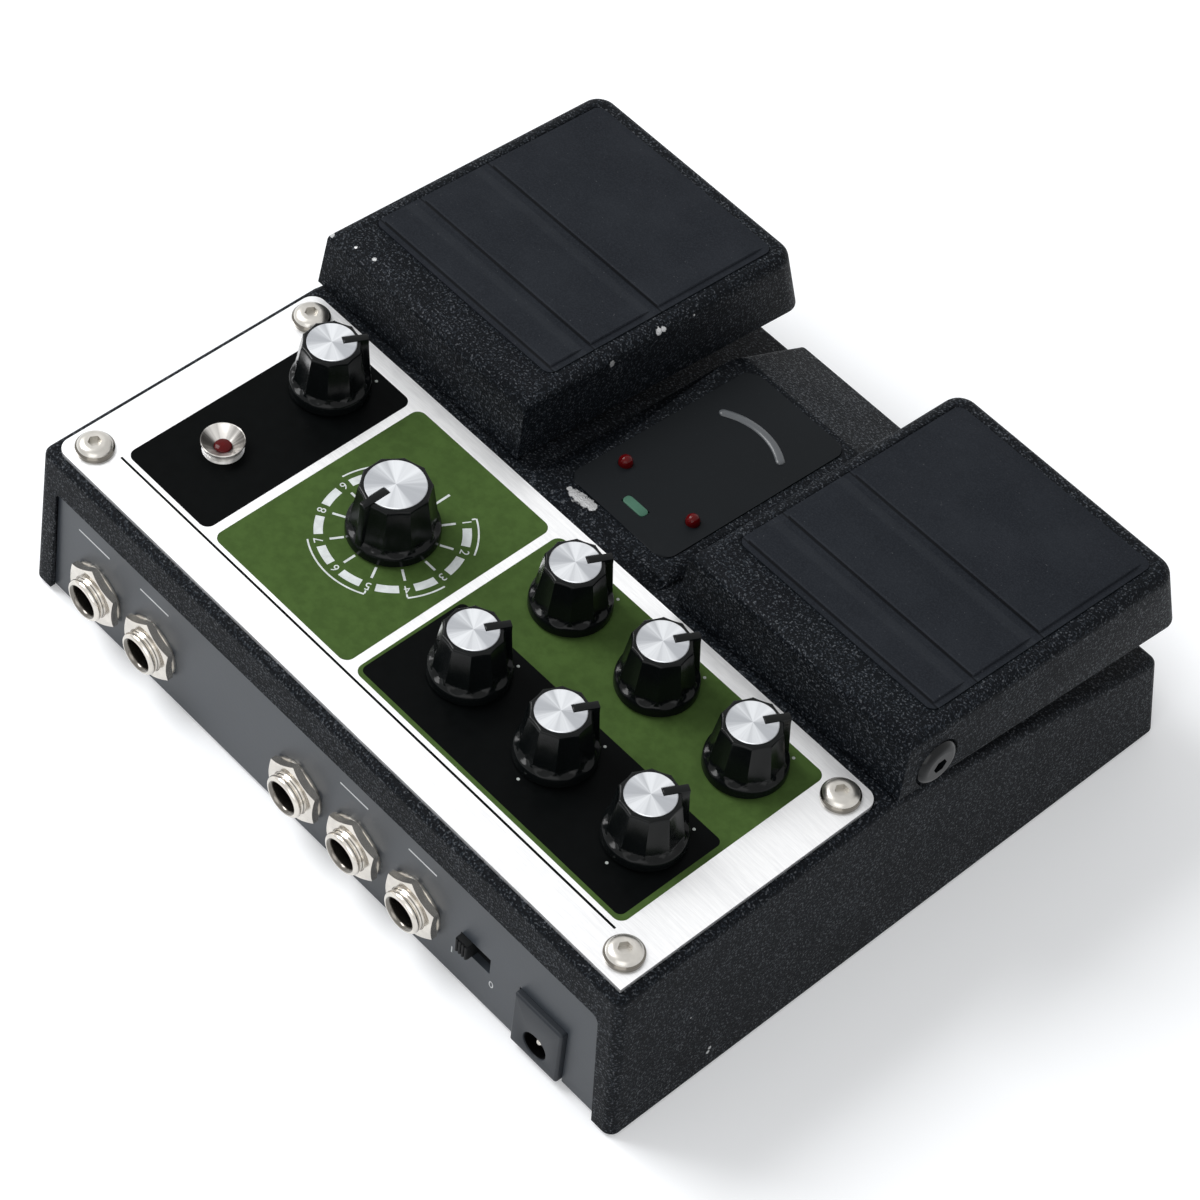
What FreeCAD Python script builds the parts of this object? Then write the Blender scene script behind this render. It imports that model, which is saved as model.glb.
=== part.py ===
import FreeCAD
import Part
import Sketcher
import math
import os
from FreeCAD import Placement, Rotation, Vector

# Twin-pedal tape echo unit: a wedge-shaped die-cast casing on a flat base, a control
# plate with seven level knobs and a mode selector at the rear, a row of sockets on the
# back, and two sprung foot pedals hinged on the casing with a display island between
# them. Millimetres, +Z up, the pedals towards -Y, the sockets towards +Y, and the
# origin on the floor under the middle of the unit.

SIZES = [
    # Casing
    ("case_width", 173.0, "across the lower edge"),
    ("case_front", 76.4, "lower front edge ahead of the origin"),
    ("case_back", 74.4, "lower rear edge behind the origin"),
    ("case_height", 40.9, "lower edge to the flat top"),
    ("nose_height", 22.9, "lower edge to the top of the front wall"),
    ("nose_lean", 3.3, "how far the front wall leans back"),
    ("tail_lean", 0.6, "how far the rear wall leans forward"),
    ("side_draft", 4.3, "lean of each side wall in degrees"),
    ("well_start", 4.4, "where the flat top turns down under the pedals"),
    ("wall", 2.5, "casting wall"),
    ("corner_radius", 2.2, "upright corners of the casing"),
    ("rim_radius", 1.6, "rounding along the top edges"),
    ("opening_side", 5.2, "opening for the socket panel in from the lower edge on each side"),
    ("rear_opening_height", 31.5, "height of the opening for the socket panel"),
    ("opening_corner", 1.8, "upper corners of that opening"),
    ("groove_depth", 1.2, "grooves in the side walls that hold the socket panel"),
    # Display island between the pedals
    ("island_width", 36.8, "across the island"),
    ("island_start", 1.4, "where the island starts to slope behind the origin"),
    ("island_length", 56.0, "along its gentle slope"),
    ("island_drop", 4.5, "fall of the gentle slope"),
    ("island_nose_reach", 73.0, "front of the steep slope ahead of the origin"),
    ("island_nose_fall", 9.6, "fall of the steep slope"),
    ("island_radius", 2.0, "rounding along the island"),
    ("display_width", 28.0, "display plate across"),
    ("display_rear", 2.1, "rear end of the display plate ahead of the origin"),
    ("display_length", 51.1, "display plate along the slope"),
    ("display_thickness", 1.0, "display plate"),
    ("display_depth", 0.8, "recess for the display plate"),
    ("display_radius", 3.0, "corners of the display plate"),
    ("lamp_radius", 1.5, "lens of each round lamp"),
    ("lamp_spacing", 19.4, "between the two pedal lamps"),
    ("lamp_reach", 13.9, "pedal lamps ahead of the origin"),
    ("lamp_rise", 2.1, "top of the pedal lamps above the island"),
    ("lamp_length", 7.0, "whole height of a round lamp"),
    ("power_lamp_width", 5.6, "power lamp across"),
    ("power_lamp_depth", 2.2, "power lamp along the slope"),
    ("power_lamp_reach", 7.5, "power lamp ahead of the origin"),
    ("power_lamp_height", 3.6, "power lamp"),
    ("power_lamp_rise", 0.4, "top of the power lamp above the island"),
    # Base and battery bay
    ("foot_height", 0.9, "rubber feet below the casing"),
    ("foot_radius", 7.0, "rubber feet"),
    ("foot_side", 21.5, "feet in from the lower edge on each side"),
    ("foot_front", 60.6, "front feet ahead of the origin"),
    ("foot_back", 56.4, "rear feet behind the origin"),
    ("base_thickness", 1.2, "base plate"),
    ("base_gap", 0.2, "between the base plate and the walls"),
    ("base_radius", 3.0, "corners of the base plate"),
    ("base_screw_radius", 1.4, "shank of the base screws"),
    ("base_screw_length", 9.0, "shank of the base screws"),
    ("base_head_radius", 2.8, "heads of the base screws"),
    ("base_head_height", 0.6, "heads of the base screws"),
    ("base_boss_radius", 3.6, "pillars for the base screws"),
    ("base_boss_front", 64.6, "front pillars ahead of the origin"),
    ("bay_front", 50.6, "front of the battery box ahead of the origin"),
    ("bay_wall", 1.4, "battery box walls"),
    ("cell_radius", 7.0, "battery cell"),
    ("cell_length", 49.2, "battery cell body"),
    ("cell_nub_radius", 2.7, "raised contact of a cell"),
    ("cell_nub", 1.3, "length of the raised contact"),
    ("cell_pitch", 14.8, "between neighbouring cells"),
    ("cell_room_x", 4.2, "play along the cells"),
    ("cell_room_y", 1.6, "play across the cells"),
    ("cell_room_z", 1.5, "play above and below the cells"),
    ("door_margin", 2.5, "battery door in from the outside of the battery box"),
    ("door_gap", 0.3, "around the battery door"),
    ("door_tab_width", 16.0, "finger recess of the battery door"),
    ("door_tab_depth", 5.0, "finger recess front to back"),
    ("door_tab_sink", 0.6, "depth of the finger recess"),
    # Control plate
    ("plate_side", 5.1, "control plate in from the lower edge on each side"),
    ("plate_front", 6.0, "front edge behind the origin"),
    ("plate_depth", 65.9, "control plate front to back"),
    ("plate_thickness", 1.0, "control plate"),
    ("plate_radius", 3.0, "its rounded corners"),
    ("screw_side", 10.3, "casing screws in from the lower edge on each side"),
    ("plate_screw_front", 5.3, "front screws behind the front edge"),
    ("plate_screw_back", 5.7, "rear screws ahead of the rear edge"),
    ("plate_screw_radius", 1.5, "shank of the plate screws"),
    ("plate_screw_length", 8.0, "shank below the plate"),
    ("plate_head_radius", 3.75, "button heads"),
    ("plate_head_height", 2.1, "button heads"),
    ("plate_head_socket", 2.5, "hex socket across flats"),
    ("plate_head_socket_depth", 1.2, "hex socket"),
    ("screw_gap", 0.1, "around a screw shank"),
    # Knobs and pots
    ("knob_side", 21.8, "outermost column of knobs in from the plate's side"),
    ("knob_pitch_x", 24.25, "between the columns of knobs"),
    ("knob_row", 20.1, "front row of knobs behind the origin"),
    ("knob_pitch_y", 25.7, "between the rows of knobs"),
    ("input_side", 21.4, "input level knob in from the plate's other side"),
    ("selector_x", 24.0, "selector right of the middle"),
    ("selector_y", 34.6, "selector behind the origin"),
    ("knob_height", 12.6, "small knob without its cap"),
    ("knob_base_radius", 8.3, "skirt of a small knob"),
    ("knob_waist_radius", 6.9, "body of a small knob just above its skirt"),
    ("knob_top_radius", 5.5, "top of a small knob"),
    ("selector_height", 13.5, "selector knob without its cap"),
    ("selector_base_radius", 9.4, "skirt of the selector knob"),
    ("selector_waist_radius", 8.1, "body of the selector knob just above its skirt"),
    ("selector_top_radius", 6.7, "top of the selector knob"),
    ("skirt_height", 1.1, "upright edge of a knob skirt"),
    ("skirt_flare", 1.5, "height of the flare above the skirt"),
    ("knob_lift", 0.4, "gap between a knob and the plate"),
    ("knob_well_depth", 3.4, "hollow under a knob for the nut"),
    ("knob_bore_depth", 9.3, "bore for the shaft above the hollow"),
    ("flute_count", 10, "flutes round a knob"),
    ("flute_radius", 3.0, "cutter of a flute"),
    ("flute_depth", 0.4, "depth of a flute"),
    ("fin_width", 2.0, "pointer fin of a knob"),
    ("fin_overhang", 1.9, "fin beyond the top of the body"),
    ("cap_thickness", 0.7, "metal disc on a knob"),
    ("cap_sink", 0.4, "part of the disc let into the knob"),
    ("cap_rim", 0.6, "knob edge left around the disc"),
    ("cap_notch_reach", 2.2, "inner end of the pointer notch from the middle"),
    ("cap_gap", 0.05, "around the disc and its notch"),
    ("shaft_radius", 3.0, "control shafts"),
    ("shaft_gap", 0.04, "running gap around a shaft"),
    ("shaft_length", 20.6, "control shafts"),
    ("shaft_flat", 0.9, "depth of the flat on a shaft"),
    ("pot_radius", 8.2, "body of a level control"),
    ("pot_height", 6.7, "body of a level control"),
    ("pot_floor", 1.2, "bottom of a level control below its shaft"),
    ("bushing_radius", 3.5, "threaded neck of a level control"),
    ("bushing_height", 2.7, "neck above the plate"),
    ("switch_radius", 11.5, "body of the rotary switch"),
    ("switch_neck_radius", 4.5, "threaded neck of the rotary switch"),
    ("bushing_gap", 0.2, "around a neck in the plate and casing"),
    ("nut_height", 2.0, "nuts on the plate"),
    ("pot_nut_flats", 10.0, "nut of a level control across flats"),
    ("switch_nut_flats", 12.5, "nut of the rotary switch across flats"),
    ("thread_gap", 0.05, "between a thread and its nut"),
    ("nut_clearance", 0.6, "between a nut's corners and the knob's hollow"),
    ("level_rest", -117.0, "pointer of a level knob at its minimum, degrees from +X"),
    ("selector_rest", 90.0, "pointer of the selector at its sixth position"),
    # Peak lamp
    ("peak_shift", 0.7, "peak lamp to the right of the input level knob"),
    ("peak_y", 46.8, "peak lamp behind the origin"),
    ("bezel_radius", 4.5, "rim of the lamp holder"),
    ("bezel_foot_radius", 3.6, "lamp holder where it sits on the plate"),
    ("bezel_height", 2.6, "lamp holder above the plate"),
    ("bezel_lip", 0.3, "width and height of its rim"),
    ("funnel_rise", 0.5, "bottom of its funnel above the plate"),
    ("bezel_stem_radius", 2.9, "stem through the plate"),
    ("bezel_stem_length", 6.0, "stem below the plate"),
    ("peak_rise", 0.8, "lamp above the bottom of the funnel"),
    # Boards
    ("board_thickness", 1.6, "circuit boards"),
    ("control_board_side", 14.5, "control board in from the lower edge on each side"),
    ("control_board_front", 9.4, "control board behind the origin"),
    ("control_board_depth", 54.0, "control board front to back"),
    ("main_board_side", 16.5, "main board in from the lower edge on each side"),
    ("main_board_front", 7.4, "main board behind the origin"),
    ("main_board_depth", 36.0, "main board front to back"),
    ("main_board_z", 8.0, "underside of the main board"),
    ("standoff_radius", 2.8, "pillars under the main board"),
    ("standoff_inset", 5.0, "pillars in from the board's edges"),
    ("jack_board_depth", 23.0, "socket board front to back"),
    # Sockets
    ("panel_face", 73.1, "outer face of the socket panel behind the origin"),
    ("panel_thickness", 1.5, "socket panel"),
    ("panel_gap", 0.1, "around the socket panel in its grooves"),
    ("panel_lift", 0.3, "lower edge of the panel above the casing's lower edge"),
    ("jack_height", 12.8, "middle of the sockets above the floor"),
    ("jack_side", 19.8, "first input socket in from the lower edge"),
    ("jack_input_pitch", 17.2, "between the input sockets"),
    ("jack_slot_pitch", 16.5, "between the lock switch and the nearest socket"),
    ("jack_output_pitch", 17.3, "between the three other sockets"),
    ("jack_bore_radius", 3.3, "bore for a 6.35 mm plug"),
    ("jack_bore_depth", 29.0, "bore from its mouth"),
    ("jack_neck_radius", 4.75, "threaded neck"),
    ("jack_neck_length", 6.0, "neck from the jack's body to its mouth"),
    ("jack_mouth_radius", 4.1, "countersink at the mouth"),
    ("jack_body_width", 11.4, "jack body across"),
    ("jack_body_height", 16.0, "jack body"),
    ("jack_body_depth", 26.4, "jack body front to back"),
    ("jack_nut_flats", 13.0, "nut across flats"),
    ("jack_nut_height", 1.8, "nut"),
    ("washer_radius", 6.9, "washer"),
    ("washer_thickness", 0.5, "washer"),
    ("jack_hole_gap", 0.15, "around a neck in the panel"),
    ("dc_side", 21.5, "adaptor socket in from the other lower edge"),
    ("dc_width", 13.0, "flange of the adaptor socket"),
    ("dc_bottom", 1.6, "underside of the flange above the floor"),
    ("dc_height", 15.9, "flange of the adaptor socket"),
    ("dc_proud", 1.5, "flange beyond the panel"),
    ("dc_edge", 0.6, "rounding of the flange"),
    ("dc_body_depth", 11.0, "adaptor socket behind the panel"),
    ("dc_hole_height", 6.7, "middle of its hole above the floor"),
    ("dc_hole_radius", 3.1, "hole for the adaptor plug"),
    ("dc_hole_depth", 9.5, "hole for the adaptor plug"),
    ("dc_pin_radius", 1.0, "middle pin"),
    ("slot_pitch", 18.9, "between the adaptor socket and the lock switch"),
    ("slot_height", 14.7, "lock switch slot above the floor"),
    ("slot_width", 8.4, "lock switch slot"),
    ("slot_opening", 4.6, "height of the lock switch slot"),
    ("lock_body_width", 11.6, "lock switch body"),
    ("lock_body_height", 7.4, "lock switch body"),
    ("lock_body_depth", 7.0, "lock switch body"),
    ("slider_width", 3.4, "lock switch slider"),
    ("slider_depth", 6.0, "lock switch slider along its depth"),
    ("slider_sink", 2.8, "slider behind the panel's inner face"),
    ("slider_gap", 0.15, "around the slider"),
    # Pedals
    ("pedal_island_gap", 4.2, "between the island and a pedal's lower inner edge"),
    ("pedal_side", 2.3, "lower outer edge of a pedal in from the casing's lower edge"),
    ("pedal_inner_lean", 1.0, "inner side's lean over the pedal's height"),
    ("pedal_outer_lean", 1.6, "outer side's lean over the pedal's height"),
    ("pedal_rear", 3.3, "lower rear edge behind the origin"),
    ("pedal_rear_lean", 1.6, "how far the rear wall leans forward"),
    ("pedal_rear_bottom", 42.3, "lower rear edge above the floor"),
    ("pedal_top", 57.0, "upper rear edge above the floor"),
    ("pedal_front", 77.6, "lower front edge ahead of the origin"),
    ("pedal_front_lean", 4.5, "how far the front wall leans back"),
    ("pedal_front_top", 50.9, "upper front edge above the floor"),
    ("pedal_front_bottom", 33.3, "lower front edge above the floor"),
    ("pedal_wall", 2.5, "casting wall of a pedal"),
    ("pedal_corner", 4.5, "upright front corners of a pedal"),
    ("pedal_edge", 2.6, "rounding along the top of a pedal"),
    ("pad_inner_border", 4.2, "pad in from the pedal's lower inner edge"),
    ("pad_outer_border", 5.0, "pad in from the pedal's lower outer edge"),
    ("pad_rear", 7.3, "rear edge of the pad ahead of the origin"),
    ("pad_front", 69.6, "front edge of the pad ahead of the origin"),
    ("pad_ridge_one", 19.6, "rear edge of the middle panel ahead of the origin"),
    ("pad_ridge_two", 38.1, "rear edge of the front panel ahead of the origin"),
    ("pad_sink", 1.0, "recess for the pad"),
    ("pad_proud", 0.2, "border of the pad above the pedal"),
    ("pad_step", 0.5, "height of each raised panel"),
    ("pad_gap", 0.1, "around the pad in its recess"),
    ("pad_corner", 2.0, "corners of the pad"),
    ("pad_lip", 1.5, "width of the border"),
    ("pad_land", 1.7, "level strip in front of each raised panel"),
    ("pad_ramp", 2.6, "slope at the front of each raised panel"),
    ("hinge_reach", 6.5, "hinge line ahead of the origin"),
    ("hinge_height", 45.6, "hinge line above the floor"),
    ("hinge_radius", 2.5, "hinge pins"),
    ("hinge_gap", 0.05, "running gap around a hinge pin"),
    ("hinge_head_radius", 5.2, "heads of the hinge bolts"),
    ("hinge_head_height", 2.2, "heads of the hinge bolts"),
    ("hinge_head_sink", 1.3, "counterbore for the heads"),
    ("hinge_head_gap", 0.3, "around and under the heads"),
    ("hinge_socket", 3.0, "hex socket of the hinge bolts across flats"),
    ("hinge_socket_depth", 1.4, "hex socket of the hinge bolts"),
    ("ear_radius", 5.0, "rounded top of a hinge ear"),
    ("ear_thickness", 4.0, "hinge ear"),
    ("ear_gap", 0.3, "between an ear and the pedal's wall"),
    ("pedal_stroke", 4.0, "pedal travel in degrees"),
    ("spring_reach", 36.6, "springs ahead of the origin"),
    ("spring_radius", 4.0, "coil of a spring, to the wire's middle"),
    ("spring_wire", 0.6, "radius of the spring wire"),
    ("spring_turns", 6, "turns of a spring"),
    ("spring_seat_z", 34.0, "top of the spring seats"),
    ("spring_boss_z", 49.0, "underside of the pedal's spring bosses"),
    ("spring_seat_radius", 6.0, "spring seats"),
    ("spring_gap", 0.1, "between a spring's end and its seat"),
    ("foot_switch_reach", 56.6, "foot switches ahead of the origin"),
    ("foot_switch_seat_z", 31.0, "top of the foot switch seats"),
    ("foot_switch_seat_radius", 7.5, "foot switch seats"),
    ("foot_switch_radius", 6.0, "foot switch body"),
    ("foot_switch_height", 4.0, "foot switch body"),
    ("plunger_radius", 3.2, "foot switch plunger"),
    ("plunger_height", 2.0, "foot switch plunger"),
    ("post_radius", 4.0, "pedal post above a foot switch"),
    ("post_gap", 0.3, "between post and plunger with the pedal down"),
]

AXIS_X = Vector(1, 0, 0)
AXIS_Z = Vector(0, 0, 1)
QUARTER_TURN = 90.0
HALF_TURN = 180.0
FULL_TURN = 360.0
HEX_SIDES = 6
TOUCH = 1e-4
# Picking edges by place: how much taller than wide an upright edge is, and the slack allowed.
STEEPNESS = 5
SLACK = 1.0
# Share of its height or radius by which a button head or a lens is rounded.
DOME_SHARE = 0.85


class Size:
    """A length or angle that carries the sheet expression it comes from."""

    def __init__(self, number, text):
        self.number = float(number)
        self.text = text

    def combined(self, other, sign, number, swapped=False):
        other_text = other.text if isinstance(other, Size) else repr(float(other))
        pair = (other_text, self.text) if swapped else (self.text, other_text)
        return Size(number, "(%s %s %s)" % (pair[0], sign, pair[1]))

    def __float__(self):
        return self.number

    def __neg__(self):
        return Size(-self.number, "(-1 * %s)" % self.text)

    def __add__(self, other):
        return self.combined(other, "+", self.number + float(other))

    def __radd__(self, other):
        return self.combined(other, "+", float(other) + self.number, True)

    def __sub__(self, other):
        return self.combined(other, "-", self.number - float(other))

    def __rsub__(self, other):
        return self.combined(other, "-", float(other) - self.number, True)

    def __mul__(self, other):
        return self.combined(other, "*", self.number * float(other))

    def __rmul__(self, other):
        return self.combined(other, "*", float(other) * self.number, True)

    def __truediv__(self, other):
        return self.combined(other, "/", self.number / float(other))

    def tangent(self):
        return Size(math.tan(math.radians(self.number)), "tan(%s)" % self.text)

    def arctangent(self):
        return Size(math.degrees(math.atan(self.number)), "atan(%s)" % self.text)


class Sizes:
    """The sheet of driving dimensions, read as attributes."""

    def __init__(self, document, rows):
        sheet = document.addObject("Spreadsheet::Sheet", "Sizes")
        for number, (name, value, meaning) in enumerate(rows, start=1):
            sheet.set("A%d" % number, name)
            sheet.set("B%d" % number, repr(value))
            sheet.set("C%d" % number, meaning)
            sheet.setAlias("B%d" % number, name)
            setattr(self, name, Size(value, "Sizes." + name))


doc = FreeCAD.newDocument("TapeEchoPedal")
S = Sizes(doc, SIZES)
doc.recompute()
nodes = []


# Levels and edges that several pieces share

rim_z = S.foot_height
top_z = rim_z + S.case_height
plate_z = top_z + S.plate_thickness
ceiling_z = top_z - S.wall
nose_z = rim_z + S.nose_height
nose_y = -(S.case_front - S.nose_lean)
tail_y = S.case_back - S.tail_lean
well_slope = (top_z - nose_z) / (S.well_start - nose_y)
side_lean = S.side_draft.tangent()
island_slope = S.island_drop / S.island_length
island_nose_y = -S.island_nose_reach
island_nose_z = top_z - S.island_drop - S.island_nose_fall
case_half = S.case_width / 2
opening_half = case_half - S.opening_side
plate_half = case_half - S.plate_side
plate_back = S.plate_front + S.plate_depth
screw_half = case_half - S.screw_side
input_knob_x = plate_half - S.input_side
peak_x = input_knob_x + S.peak_shift
jack_input_x = case_half - S.jack_side
dc_x = case_half - S.dc_side
slot_x = dc_x - S.slot_pitch
pedal_inner = S.island_width / 2 + S.pedal_island_gap
pedal_outer = case_half - S.pedal_side
pedal_middle = (pedal_inner + pedal_outer) / 2
pad_inner = pedal_inner + S.pad_inner_border
pad_outer = pedal_outer - S.pad_outer_border
bay_width = 2 * (S.cell_length + S.cell_nub) + 2 * S.bay_wall + S.cell_room_x
bay_depth = 2 * S.cell_pitch + 2 * S.cell_radius + 2 * S.bay_wall + S.cell_room_y
bay_height = 2 * S.cell_radius + S.bay_wall + S.cell_room_z
door_width = bay_width - 2 * S.door_margin
door_depth = bay_depth - 2 * S.door_margin
panel_inner = S.panel_face - S.panel_thickness
pedal_top_slope = (S.pedal_top - S.pedal_front_top) / (
    S.pedal_rear - S.pedal_rear_lean + S.pedal_front - S.pedal_front_lean)
pedal_front_top_y = -(S.pedal_front - S.pedal_front_lean)
pedal_rear_top_y = S.pedal_rear - S.pedal_rear_lean
cavity_inner = pedal_inner + S.pedal_inner_lean + S.pedal_wall
cavity_outer = pedal_outer - S.pedal_outer_lean - S.pedal_wall
pot_bottom_z = ceiling_z - S.pot_height
base_front_y = -(S.case_front - S.wall - S.base_gap
                 - S.nose_lean * (S.base_thickness + S.wall) / S.nose_height)
door_front_y = -(S.bay_front - S.door_margin)


def well_z(y):
    """Height of the sloping casing top under the pedals."""
    return top_z - (S.well_start - y) * well_slope


def island_z(y):
    """Height of the island's gentle slope."""
    return top_z - (S.island_start - y) * island_slope


def pedal_z(y):
    """Height of a pedal's sloping top."""
    return S.pedal_top - (pedal_rear_top_y - y) * pedal_top_slope


# Drawing helpers


def new_body(name, parked=False):
    body = doc.addObject("PartDesign::Body", name)
    body.Label = name
    if not parked:
        nodes.append(body)
    return body


def plane(body, role):
    return next(item for item in body.Origin.OriginFeatures if item.Role == role)


def bind(item, path, value):
    """Tie one property to the sheet, or set it when it is a plain number."""
    if isinstance(value, Size):
        item.setExpression(path, value.text)
    else:
        item.setExpression(path, repr(float(value)))


def place(item, x=0.0, y=0.0, z=0.0, turn=None):
    """Move a finished object by sheet sizes, turned about Z when asked."""
    if turn is not None:
        item.Placement = Placement(Vector(), Rotation(AXIS_Z, float(turn)))
        bind(item, "Placement.Rotation.Angle", turn)
    for letter, value in zip("xyz", (x, y, z)):
        bind(item, "Placement.Base." + letter, value)


def fix_coordinate(sketch, point, kind, value):
    """Hold one coordinate of a sketch point at its size."""
    on_axis = {"DistanceX": -2, "DistanceY": -1}[kind]
    if abs(float(value)) < TOUCH and not isinstance(value, Size):
        sketch.addConstraint(Sketcher.Constraint("PointOnObject", point[0], point[1], on_axis))
        return
    index = sketch.addConstraint(
        Sketcher.Constraint(kind, -1, 1, point[0], point[1], float(value)))
    if isinstance(value, Size):
        sketch.setExpression("Constraints[%d]" % index, value.text)


def draw_polygon(sketch, points):
    first = sketch.GeometryCount
    count = len(points)
    corners = [Vector(float(u), float(v), 0) for u, v in points]
    for index in range(count):
        line = Part.LineSegment(corners[index], corners[(index + 1) % count])
        sketch.addGeometry(line, False)
    for index in range(count):
        after = first + (index + 1) % count
        sketch.addConstraint(Sketcher.Constraint("Coincident", first + index, 2, after, 1))
    for index, (u, v) in enumerate(points):
        fix_coordinate(sketch, (first + index, 1), "DistanceX", u)
        fix_coordinate(sketch, (first + index, 1), "DistanceY", v)


def draw_circle(sketch, u, v, radius):
    circle = Part.Circle(Vector(float(u), float(v), 0), AXIS_Z, float(radius))
    index = sketch.addGeometry(circle, False)
    fix_coordinate(sketch, (index, 3), "DistanceX", u)
    fix_coordinate(sketch, (index, 3), "DistanceY", v)
    held = sketch.addConstraint(Sketcher.Constraint("Radius", index, float(radius)))
    if isinstance(radius, Size):
        sketch.setExpression("Constraints[%d]" % held, radius.text)


def new_sketch(body, role, polygons=(), circles=(), offset=0.0):
    """A sketch on one of the body's origin planes, moved along its normal."""
    sketch = body.newObject("Sketcher::SketchObject", body.Name + "_sketch")
    sketch.AttachmentSupport = [(plane(body, role), "")]
    sketch.MapMode = "FlatFace"
    bind(sketch, "AttachmentOffset.Base.z", offset)
    for points in polygons:
        draw_polygon(sketch, points)
    for u, v, radius in circles:
        draw_circle(sketch, u, v, radius)
    sketch.Visibility = False
    return sketch


def box_points(left, right, low, high):
    return [(left, low), (right, low), (right, high), (left, high)]


def hexagon_points(flats, u=0.0, v=0.0, turn=0.0):
    """Corners of a hexagon from its width across flats."""
    reach = flats / (2.0 * math.cos(math.radians(HALF_TURN / HEX_SIDES)))
    corners = []
    for index in range(HEX_SIDES):
        angle = math.radians(turn + index * FULL_TURN / HEX_SIDES)
        corners.append((u + reach * math.cos(angle), v + reach * math.sin(angle)))
    return corners


def extrude(body, kind, sketch, length, symmetric=False, backwards=False):
    feature = body.newObject(kind, body.Name + "_" + kind.split("::")[1].lower())
    feature.Profile = sketch
    if symmetric:
        feature.SideType = "Symmetric"
    feature.Reversed = backwards
    bind(feature, "Length", length)
    return feature


def pad(body, sketch, length, symmetric=False, backwards=False):
    return extrude(body, "PartDesign::Pad", sketch, length, symmetric, backwards)


def pocket(body, sketch, length, symmetric=False, backwards=False):
    return extrude(body, "PartDesign::Pocket", sketch, length, symmetric, backwards)


def spin(body, sketch, axis="V_Axis"):
    """Turn a profile once round one of the sketch's own axes."""
    feature = body.newObject("PartDesign::Revolution", body.Name + "_turned")
    feature.Profile = sketch
    feature.ReferenceAxis = (sketch, [axis])
    feature.Angle = FULL_TURN
    return feature


def edges_where(shape, wanted):
    return ["Edge%d" % number for number, edge in enumerate(shape.Edges, start=1)
            if wanted(edge)]


def round_edges(body, wanted, radius, kind="PartDesign::Fillet"):
    """Round or bevel the edges of the body's last feature that a test picks."""
    doc.recompute()
    base = body.Tip
    feature = body.newObject(kind, body.Name + "_rounded")
    feature.Base = (base, edges_where(base.Shape, wanted))
    bind(feature, "Radius" if kind.endswith("Fillet") else "Size", radius)
    return feature


def mirror(body, features, role="YZ_Plane"):
    doc.recompute()
    copy = body.newObject("PartDesign::Mirrored", body.Name + "_mirrored")
    copy.Originals = features
    copy.MirrorPlane = (plane(body, role), [""])
    body.Tip = copy
    return copy


def combine(body, other, kind):
    """Cut the other body away, or keep only what both share."""
    result = body.newObject("PartDesign::Boolean", body.Name + "_" + kind.lower())
    result.Type = kind
    result.setObjects([other])
    return result


def is_upright(edge):
    box = edge.BoundBox
    return box.ZLength > STEEPNESS * max(box.XLength, box.YLength)


def gather(name, source, places):
    """One node that holds a copy of the source body at each place."""
    copies = []
    for number, (x, y, z) in enumerate(places, start=1):
        copy = doc.addObject("App::Link", "%s_copy_%d" % (name, number))
        copy.LinkedObject = source
        place(copy, x, y, z)
        copies.append(copy)
    group = doc.addObject("Part::Compound", name)
    group.Links = copies
    group.Label = name
    nodes.append(group)
    return group


def corner_places(half, front, back, z):
    return [(side * half, y, z) for y in (front, back) for side in (-1, 1)]


# Where the controls and sockets stand

rear_row = S.knob_row + S.knob_pitch_y
columns = [plate_half - S.knob_side - number * S.knob_pitch_x for number in range(3)]
level_places = {
    "rate_knob": (-columns[0], S.knob_row),
    "intensity_knob": (-columns[1], S.knob_row),
    "echo_knob": (-columns[2], S.knob_row),
    "bass_knob": (-columns[0], rear_row),
    "treble_knob": (-columns[1], rear_row),
    "reverb_knob": (-columns[2], rear_row),
    "input_knob": (input_knob_x, S.knob_row),
}
first_output_x = S.jack_slot_pitch - slot_x
jack_xs = [
    jack_input_x,
    jack_input_x - S.jack_input_pitch,
    first_output_x + 2 * S.jack_output_pitch,
    first_output_x + S.jack_output_pitch,
    first_output_x,
]
plate_screw_ys = (S.plate_front + S.plate_screw_front, plate_back - S.plate_screw_back)


# Casing


def casing_profile(inset, drop):
    """Side outline of the wedge, or of its hollow when it is drawn in."""
    low = rim_z if inset is None else rim_z - S.wall
    gap = 0.0 if inset is None else inset
    return [
        (-(S.case_front - gap), low),
        (S.case_back - gap, low),
        (tail_y - gap, top_z - drop),
        (S.well_start, top_z - drop),
        (nose_y + gap, nose_z - drop),
    ]


def lean_sides(body, half_width, low, high):
    """Cut the sloping wedge off each side, so that the walls have draft."""
    reach = (high - low) * side_lean
    beyond = half_width + S.wall
    wedge = [(half_width, low), (beyond, low), (beyond, high), (half_width - reach, high)]
    mirrored = [(-1 * u, v) for u, v in wedge]
    sketch = new_sketch(body, "XZ_Plane", [wedge, mirrored])
    return pocket(body, sketch, 2 * S.case_width, symmetric=True)


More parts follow.
